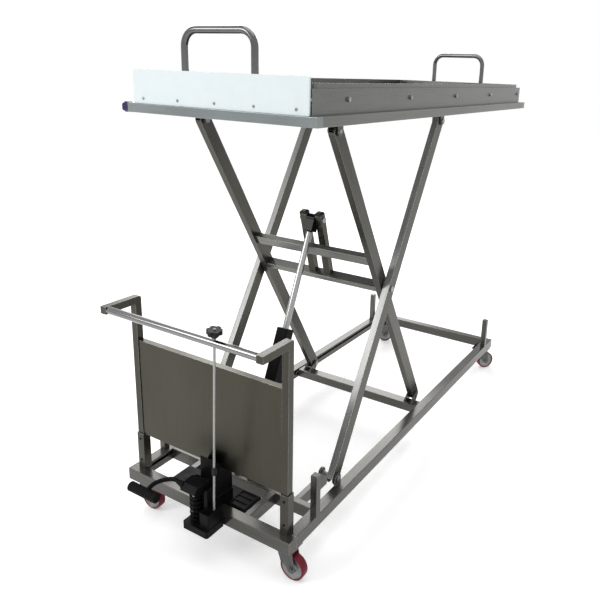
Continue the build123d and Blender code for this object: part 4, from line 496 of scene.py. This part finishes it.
def wound_spring(name, sizes, material):
    """Round wire wound into an open coil along Z."""
    tree, given, out = pattern(name, sizes)
    coil = tree.nodes.new("GeometryNodeCurveSpiral")
    link(tree, given, "Steps", coil, "Resolution")
    link(tree, given, "Turns", coil, "Rotations")
    link(tree, given, "Coil radius", coil, "Start Radius")
    link(tree, given, "Coil radius", coil, "End Radius")
    link(tree, given, "Rise", coil, "Height")
    placed = tree.nodes.new("GeometryNodeTransform")
    link(tree, coil, "Curve", placed, "Geometry")
    link(tree, given, "Foot", placed, "Translation")
    wire = tree.nodes.new("GeometryNodeCurvePrimitiveCircle")
    wire.inputs["Resolution"].default_value = WIRE_STEPS
    link(tree, given, "Wire radius", wire, "Radius")
    tube = tree.nodes.new("GeometryNodeCurveToMesh")
    tube.inputs["Fill Caps"].default_value = True
    link(tree, placed, "Geometry", tube, "Curve")
    link(tree, wire, "Curve", tube, "Profile Curve")
    return made_by(tree, tube, "Mesh", out, material, sizes, name)


coil_low, coil_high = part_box("pump_spring")
coil_mid = (coil_low + coil_high) / 2
spring = wound_spring("pump_return_spring", {
    "Steps": COIL_STEPS, "Turns": COIL_TURNS,
    "Coil radius": (coil_high.y - coil_low.y) / 2 - WIRE_R,
    "Rise": coil_high.z - coil_low.z - 2 * WIRE_R,
    "Foot": Vector((coil_mid.x, coil_mid.y, coil_low.z + WIRE_R)),
    "Wire radius": WIRE_R,
}, black_metal)
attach(spring, "base")
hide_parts("pump_spring")
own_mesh(spring)

# Pedal grip: moulded black rubber sleeve with even ribs.
# It is pushed on the end of the pedal lever's bent bar.
RUBBER_DARK = (0.0030, 0.0030, 0.0030, 1)
RUBBER_LIGHT = (0.0070, 0.0070, 0.0070, 1)
rubber = cast_surface("black rubber", RUBBER_DARK, RUBBER_LIGHT,
                      rough=(0.50, 0.72), grain=0.0007, depth=0.00008, gloss=0.09)
GRIP_RIBS = 12
GRIP_R = 0.0149
RIB_H = 0.0016
RIB_EDGE = 0.75
GRIP_STEPS = 220


def ribbed_sleeve(name, sizes, material):
    """A round sleeve along X whose radius swells into even ribs."""
    tree, given, out = pattern(name, sizes)
    line = tree.nodes.new("GeometryNodeCurvePrimitiveLine")
    link(tree, given, "Start", line, "Start")
    link(tree, given, "End", line, "End")
    even = tree.nodes.new("GeometryNodeResampleCurve")
    link(tree, line, "Curve", even, "Curve")
    link(tree, given, "Steps", even, "Count")
    place = tree.nodes.new("GeometryNodeSplineParameter")
    phase = tree.nodes.new("ShaderNodeMath")
    phase.operation = "MULTIPLY"
    link(tree, place, "Factor", phase, 0)
    link(tree, given, "Ribs turn", phase, 1)
    wave = tree.nodes.new("ShaderNodeMath")
    wave.operation = "SINE"
    link(tree, phase, "Value", wave, 0)
    swell = tree.nodes.new("ShaderNodeMapRange")
    swell.interpolation_type = "SMOOTHSTEP"
    swell.inputs["From Min"].default_value = -RIB_EDGE
    swell.inputs["From Max"].default_value = RIB_EDGE
    link(tree, wave, "Value", swell, "Value")
    link(tree, given, "Valley", swell, "To Min")
    link(tree, given, "Crest", swell, "To Max")
    sized = tree.nodes.new("GeometryNodeSetCurveRadius")
    link(tree, even, "Curve", sized, "Curve")
    link(tree, swell, "Result", sized, "Radius")
    ring = tree.nodes.new("GeometryNodeCurvePrimitiveCircle")
    ring.inputs["Resolution"].default_value = ROUND_STEPS
    ring.inputs["Radius"].default_value = 1
    radius = tree.nodes.new("GeometryNodeInputRadius")
    tube = tree.nodes.new("GeometryNodeCurveToMesh")
    tube.inputs["Fill Caps"].default_value = True
    link(tree, sized, "Curve", tube, "Curve")
    link(tree, ring, "Curve", tube, "Profile Curve")
    link(tree, radius, "Radius", tube, "Scale")
    return made_by(tree, tube, "Mesh", out, material, sizes, name)


grip_low, grip_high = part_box("pedal_grip")
grip_mid = (grip_low + grip_high) / 2
grip = ribbed_sleeve("ribbed_grip", {
    "Start": Vector((grip_low.x, grip_mid.y, grip_mid.z)),
    "End": Vector((grip_high.x, grip_mid.y, grip_mid.z)),
    "Steps": GRIP_STEPS, "Ribs turn": math.tau * GRIP_RIBS,
    "Valley": GRIP_R, "Crest": GRIP_R + RIB_H,
}, rubber)
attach(grip, "pedal")
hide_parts("pedal_grip")

# Release rod: thin drawn steel rod with a moulded star knob on top and a black coupling.
# It runs from the push bar down to the pump.
ROD_DARK = (0.24, 0.24, 0.235, 1)
ROD_LIGHT = (0.36, 0.36, 0.355, 1)
ROD_ROUGH = (0.34, 0.46)
drawn_rod = brushed_steel("drawn rod", ALONG_Z, ROD_DARK, ROD_LIGHT, ROD_ROUGH)
finish(["release_rod"], drawn_rod)
black_plastic = cast_surface("black moulded plastic", BLACK_DARK, BLACK_LIGHT,
                             rough=(0.30, 0.44), grain=0.0008, depth=0.00006, gloss=0.2)
finish(["release_knob", "rod_coupling"], black_plastic)

# Scissor arms: flat stainless tube on edge, pinned at the crossing and at both ends.
# The outer arms' narrow faces are painted lighter and less metallic, a painted highlight.
# Two cross tubes join the inner arms, and the clevis posts that the ram pushes stand on the lower
# one.
ARM_RISE = math.radians(59.22)
ARM_DARK = (0.044, 0.042, 0.034, 1)
ARM_LIGHT = (0.084, 0.081, 0.068, 1)
ARM_ROUGH = (0.19, 0.33)
# Painted highlight: the narrow faces' colour is multiplied by this
NARROW_HIGHLIGHT_GAIN = (3.9, 4.05, 4.75, 1)
NARROW_HIGHLIGHT_METAL = 0.4
NARROW_RANGE = (0.7, 0.3)
NO_GAIN = (1, 1, 1, 1)
# The cross tubes' steel is a lighter copy of the same stainless: painted light
CROSS_DARK = (0.110, 0.109, 0.100, 1)
CROSS_LIGHT = (0.210, 0.208, 0.195, 1)
PIN_DARK = (0.200, 0.204, 0.200, 1)
PIN_LIGHT = (0.340, 0.344, 0.338, 1)
PIN_ROUGH = (0.20, 0.34)
UP_BACK = (ARM_RISE, 0, 0)
UP_FRONT = (-ARM_RISE, 0, 0)


def paint_narrow_face_highlight(material):
    """Paints a highlight on the faces that don't face along X: a lighter colour and less metal."""
    tree = material.node_tree
    shader = tree.nodes["Principled BSDF"]
    place = tree.nodes.new("ShaderNodeTexCoord")
    across = tree.nodes.new("ShaderNodeVectorMath")
    across.operation = "ABSOLUTE"
    link(tree, place, "Normal", across, 0)
    sides = tree.nodes.new("ShaderNodeSeparateXYZ")
    link(tree, across, "Vector", sides, "Vector")
    narrow = spread(tree, sides, "X", *NARROW_RANGE)
    brighter = tree.nodes.new("ShaderNodeVectorMath")
    brighter.operation = "MULTIPLY"
    tree.links.new(shader.inputs["Base Color"].links[0].from_socket, brighter.inputs[0])
    link(tree, blended(tree, NO_GAIN, NARROW_HIGHLIGHT_GAIN, narrow), "Result", brighter, 1)
    link(tree, brighter, "Vector", shader, "Base Color")
    narrow_highlight_metal = spread(tree, narrow, "Result", 0, 1, BRUSHED_METAL, NARROW_HIGHLIGHT_METAL)
    link(tree, narrow_highlight_metal, "Result", shader, "Metallic")


steel_up_back = brushed_steel("arm tube rising to the back", UP_BACK,
                              ARM_DARK, ARM_LIGHT, ARM_ROUGH)
# The outer arms' narrow faces get a painted highlight
paint_narrow_face_highlight(steel_up_back)
steel_up_front = brushed_steel("arm tube rising to the front", UP_FRONT,
                               ARM_DARK, ARM_LIGHT, ARM_ROUGH)
finish(["outer_arms"], steel_up_back)
finish(["inner_arms"], steel_up_front)
# The cross tubes are painted lighter than the other tubes of the same steel: painted light
cross_steel = brushed_steel("cross tube brushed along x", ALONG_X, CROSS_DARK, CROSS_LIGHT)
finish(["upper_cross_tube", "lower_cross_tube"], cross_steel)
finish(["lower_carriage", "upper_carriage"], steel_along_x)
pin_steel = brushed_steel("turned pin steel", ALONG_X, PIN_DARK, PIN_LIGHT, PIN_ROUGH)
finish(["outer_arm_pins", "inner_arm_pins"], pin_steel)
# The clevis posts take the handle's darker copy of the steel: painted shade
post_steel = brushed_steel("clevis post tube", UP_FRONT, HANDLE_DARK, HANDLE_LIGHT, ARM_ROUGH)
finish(["clevis_posts"], post_steel)
finish(["clevis_caps"], black_plastic)

# Ram: black painted square cylinder with a hard-chromed rod and a black eye on its end.
# It swings in lugs on the base, and the eye is pinned between the clevis posts.
CHROME_DARK = (0.28, 0.28, 0.28, 1)
CHROME_LIGHT = (0.42, 0.42, 0.415, 1)
EYE_REACH = 0.057
EYE_BLEND = 0.0005
EYE_GLOSS = 0.11


def chromed_rod():
    """Hard chrome, painted black as far as the eye reaches."""
    material = brushed_steel("chromed rod", ALONG_Z, CHROME_DARK, CHROME_LIGHT, POLISH_ROUGH)
    tree = material.node_tree
    shader = tree.nodes["Principled BSDF"]
    shader.inputs["Specular IOR Level"].default_value = EYE_GLOSS
    place = tree.nodes.new("ShaderNodeTexCoord")
    away = tree.nodes.new("ShaderNodeVectorMath")
    away.operation = "DISTANCE"
    away.inputs[1].default_value = joints["ram_swing"]["pos_m"]
    link(tree, place, "Object", away, 0)
    painted = spread(tree, away, "Value", EYE_REACH, EYE_REACH - EYE_BLEND)
    bare = spread(tree, away, "Value", EYE_REACH - EYE_BLEND, EYE_REACH)
    colour = blended(tree, BLACK_LIGHT, BLACK_LIGHT, painted)
    tree.links.new(shader.inputs["Base Color"].links[0].from_socket, colour.inputs["A"])
    link(tree, colour, "Result", shader, "Base Color")
    link(tree, bare, "Result", shader, "Metallic")
    return material


finish(["ram_foot_lugs"], steel_along_y)
finish(["ram_cylinder"], black_metal)
finish(["ram_rod"], chromed_rod())

# Platform: square stainless tube frame, with folded sheet panels standing on its side tubes.
# Five turned rollers run on axles that nuts hold in the panels.
SHEET_DARK = (0.118, 0.120, 0.115, 1)
SHEET_LIGHT = (0.172, 0.174, 0.167, 1)
SHEET_ROUGH = (0.22, 0.36)
# The platform's end tubes take a lighter, bluer copy of the stainless: painted light
FRONT_TUBE_DARK = (0.165, 0.183, 0.185, 1)
FRONT_TUBE_LIGHT = (0.245, 0.270, 0.273, 1)
ROLLER_ROUGH = (0.18, 0.32)
ROLLERS = 5
sheet_along_y = brushed_steel("side sheet brushed along y", ALONG_Y,
                              SHEET_DARK, SHEET_LIGHT, SHEET_ROUGH)
finish(["platform_side_tubes", "side_panels"], sheet_along_y)
sheet_along_x = brushed_steel("deck tube brushed along x", ALONG_X,
                              FRONT_TUBE_DARK, FRONT_TUBE_LIGHT)
finish(["platform_front_tube", "platform_rear_tube"], sheet_along_x)
finish(["pivot_cross_tube"], steel_along_x)
roller_steel = brushed_steel("turned roller tube", ALONG_Y, PIN_DARK, PIN_LIGHT, ROLLER_ROUGH)
finish(["deck_roller_" + str(place + 1) for place in range(ROLLERS)], roller_steel)
finish(["roller_axles"], pin_steel)

# End board: white plastic sheet with a smooth, slightly glossy face.
# Five screws hold it to the fin of the platform's front tube.
BOARD_DARK = (0.675, 0.740, 0.755, 1)
BOARD_LIGHT = (0.690, 0.755, 0.770, 1)
BOARD_SCREW_R = 0.005
BOARD_SCREW_H = 0.0025
BOARD_SCREW_DOME = 0.0075
BOARD_KEY_R = 0.0024
BOARD_SCREWS = 5
white_board = cast_surface("white board", BOARD_DARK, BOARD_LIGHT,
                           rough=(0.28, 0.42), grain=0.0022, depth=0.00005)
finish(["front_board"], white_board)
screw_low, screw_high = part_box("board_screws")
span = screw_high.x - screw_low.x - 2 * BOARD_SCREW_R
first = Vector((
    screw_low.x + BOARD_SCREW_R,
    screw_low.y + BOARD_SCREW_H / 2,
    (screw_low.z + screw_high.z) / 2,
))
step = Vector((span / (BOARD_SCREWS - 1), 0, 0))
board_screws = keyed_screws("board_screw_heads", pin_steel, BOARD_SCREW_R, BOARD_SCREW_H,
                            BOARD_SCREW_DOME, BOARD_KEY_R, BOARD_SCREWS, first, step)
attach(board_screws, "platform")
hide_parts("board_screws")

# Tray: folded stainless sheet that rides on the platform's rollers.
# A loop of bent and polished tube is welded to each end as a handle.
LOOP_DARK = (0.095, 0.098, 0.097, 1)
LOOP_LIGHT = (0.180, 0.184, 0.182, 1)
LOOP_ROUGH = (0.05, 0.12)
finish(["body_tray"], sheet_along_y)
loop_steel = brushed_steel("loop tube", ALONG_X, LOOP_DARK, LOOP_LIGHT, LOOP_ROUGH, FULL_METAL)
finish(["tray_handles"], loop_steel)

# Tray lock: dark blue moulded plastic knob on a stem.
# It turns at the platform's front left corner.
NAVY_DARK = (0.006, 0.005, 0.042, 1)
NAVY_LIGHT = (0.013, 0.011, 0.085, 1)
navy = cast_surface("dark blue plastic", NAVY_DARK, NAVY_LIGHT,
                    rough=(0.24, 0.40), grain=0.0008, depth=0.00005, gloss=0.2)
finish(["tray_lock_knob"], navy)

# Studio: a pale floor in a white room, and the photographed view. Four softboxes light it, one
# overhead, one in front and two behind. Camera, glossy and transmitted rays all see the room as
# white, so the metal shows the same background.
FLOOR_SIZE = 40.0
FLOOR_SHADE = (0.88, 0.88, 0.88, 1)
FLOOR_ROUGH = 0.9
FLOOR_GLOW = 0.3
SKY_SHADE = (1.0, 1.0, 1.0, 1)
SKY_STRENGTH = 0.8
IMAGE = 600
FOCAL_PIXELS = 635.0
VIEW_CENTRE = (354.1, 250.0)
CAMERA_AT = Vector((1.329, -2.29225, 1.581))
CAMERA_YAW = math.radians(29.985)
CAMERA_PITCH = math.radians(15.643)
CAMERA_ROLL = math.radians(-2.14)
SENSOR = 36.0


def seen_rays(tree):
    """A mask for what the eye sees, straight, in a mirror or through glass."""
    ray = tree.nodes.new("ShaderNodeLightPath")
    mirrored = tree.nodes.new("ShaderNodeMath")
    mirrored.operation = "MAXIMUM"
    link(tree, ray, "Is Glossy Ray", mirrored, 0)
    link(tree, ray, "Is Transmission Ray", mirrored, 1)
    seen = tree.nodes.new("ShaderNodeMath")
    seen.operation = "MAXIMUM"
    link(tree, ray, "Is Camera Ray", seen, 0)
    link(tree, mirrored, "Value", seen, 1)
    return seen


ground = bmesh.new()
bmesh.ops.create_grid(ground, x_segments=1, y_segments=1, size=FLOOR_SIZE / 2)
ground_mesh = bpy.data.meshes.new("floor")
ground.to_mesh(ground_mesh)
ground.free()
floor = bpy.data.objects.new("floor", ground_mesh)
bpy.context.scene.collection.objects.link(floor)
floor_paint, paint, matt = blank_material("pale floor")
matt.inputs["Base Color"].default_value = FLOOR_SHADE
matt.inputs["Roughness"].default_value = FLOOR_ROUGH
matt.inputs["Emission Color"].default_value = SKY_SHADE
glow = spread(paint, seen_rays(paint), "Value", 0, 1, 0, FLOOR_GLOW)
link(paint, glow, "Result", matt, "Emission Strength")
ground_mesh.materials.append(floor_paint)

sky = bpy.data.worlds.new("studio")
sky.use_nodes = True
air = sky.node_tree
shown = air.nodes["Background"]
shown.inputs["Color"].default_value = SKY_SHADE
lit = air.nodes.new("ShaderNodeBackground")
lit.inputs["Color"].default_value = SKY_SHADE
lit.inputs["Strength"].default_value = SKY_STRENGTH
either = air.nodes.new("ShaderNodeMixShader")
link(air, seen_rays(air), "Value", either, 0)
link(air, lit, "Background", either, 1)
link(air, shown, "Background", either, 2)
link(air, either, "Shader", air.nodes["World Output"], "Surface")
bpy.context.scene.world = sky


def soft_light(name, place, target, size, power):
    """A softbox that shines from its place towards a target."""
    light = bpy.data.lights.new(name, "AREA")
    light.shape = "RECTANGLE"
    light.size, light.size_y = size
    light.energy = power
    lamp = bpy.data.objects.new(name, light)
    bpy.context.scene.collection.objects.link(lamp)
    aim = (Vector(target) - Vector(place)).to_track_quat("-Z", "Y").to_matrix().to_4x4()
    lamp.matrix_world = Matrix.Translation(Vector(place)) @ aim
    lamp.visible_camera = False


soft_light("overhead softbox", place=(0.2, -0.4, 4.4), target=(0, 0, 0.8),
           size=(3.0, 3.0), power=48)
soft_light("front softbox", place=(-2.6, -4.2, 3.2), target=(0, -0.4, 0.8),
           size=(2.0, 2.0), power=81)
soft_light("rear softbox", place=(-2.3, 2.6, 3.0), target=(0, -0.6, 0.4),
           size=(3.4, 1.6), power=64)
soft_light("back softbox", place=(-2.9, 4.0, 2.3), target=(0, 0, 0.5),
           size=(3.0, 1.6), power=45)

camera = bpy.data.objects.new("camera", bpy.data.cameras.new("camera"))
bpy.context.scene.collection.objects.link(camera)
forward = Vector((
    -math.sin(CAMERA_YAW) * math.cos(CAMERA_PITCH),
    math.cos(CAMERA_YAW) * math.cos(CAMERA_PITCH),
    -math.sin(CAMERA_PITCH),
))
level = Vector((math.cos(CAMERA_YAW), math.sin(CAMERA_YAW), 0))
below = forward.cross(level)
right = level * math.cos(CAMERA_ROLL) + below * math.sin(CAMERA_ROLL)
down = below * math.cos(CAMERA_ROLL) - level * math.sin(CAMERA_ROLL)
turn = Matrix((right, -down, -forward)).transposed().to_4x4()
camera.matrix_world = Matrix.Translation(CAMERA_AT) @ turn
camera.data.sensor_width = SENSOR
camera.data.lens = FOCAL_PIXELS * SENSOR / IMAGE
camera.data.shift_x = (IMAGE / 2 - VIEW_CENTRE[0]) / IMAGE
camera.data.shift_y = (VIEW_CENTRE[1] - IMAGE / 2) / IMAGE
bpy.context.scene.camera = camera
bpy.context.scene.view_settings.view_transform = "Standard"
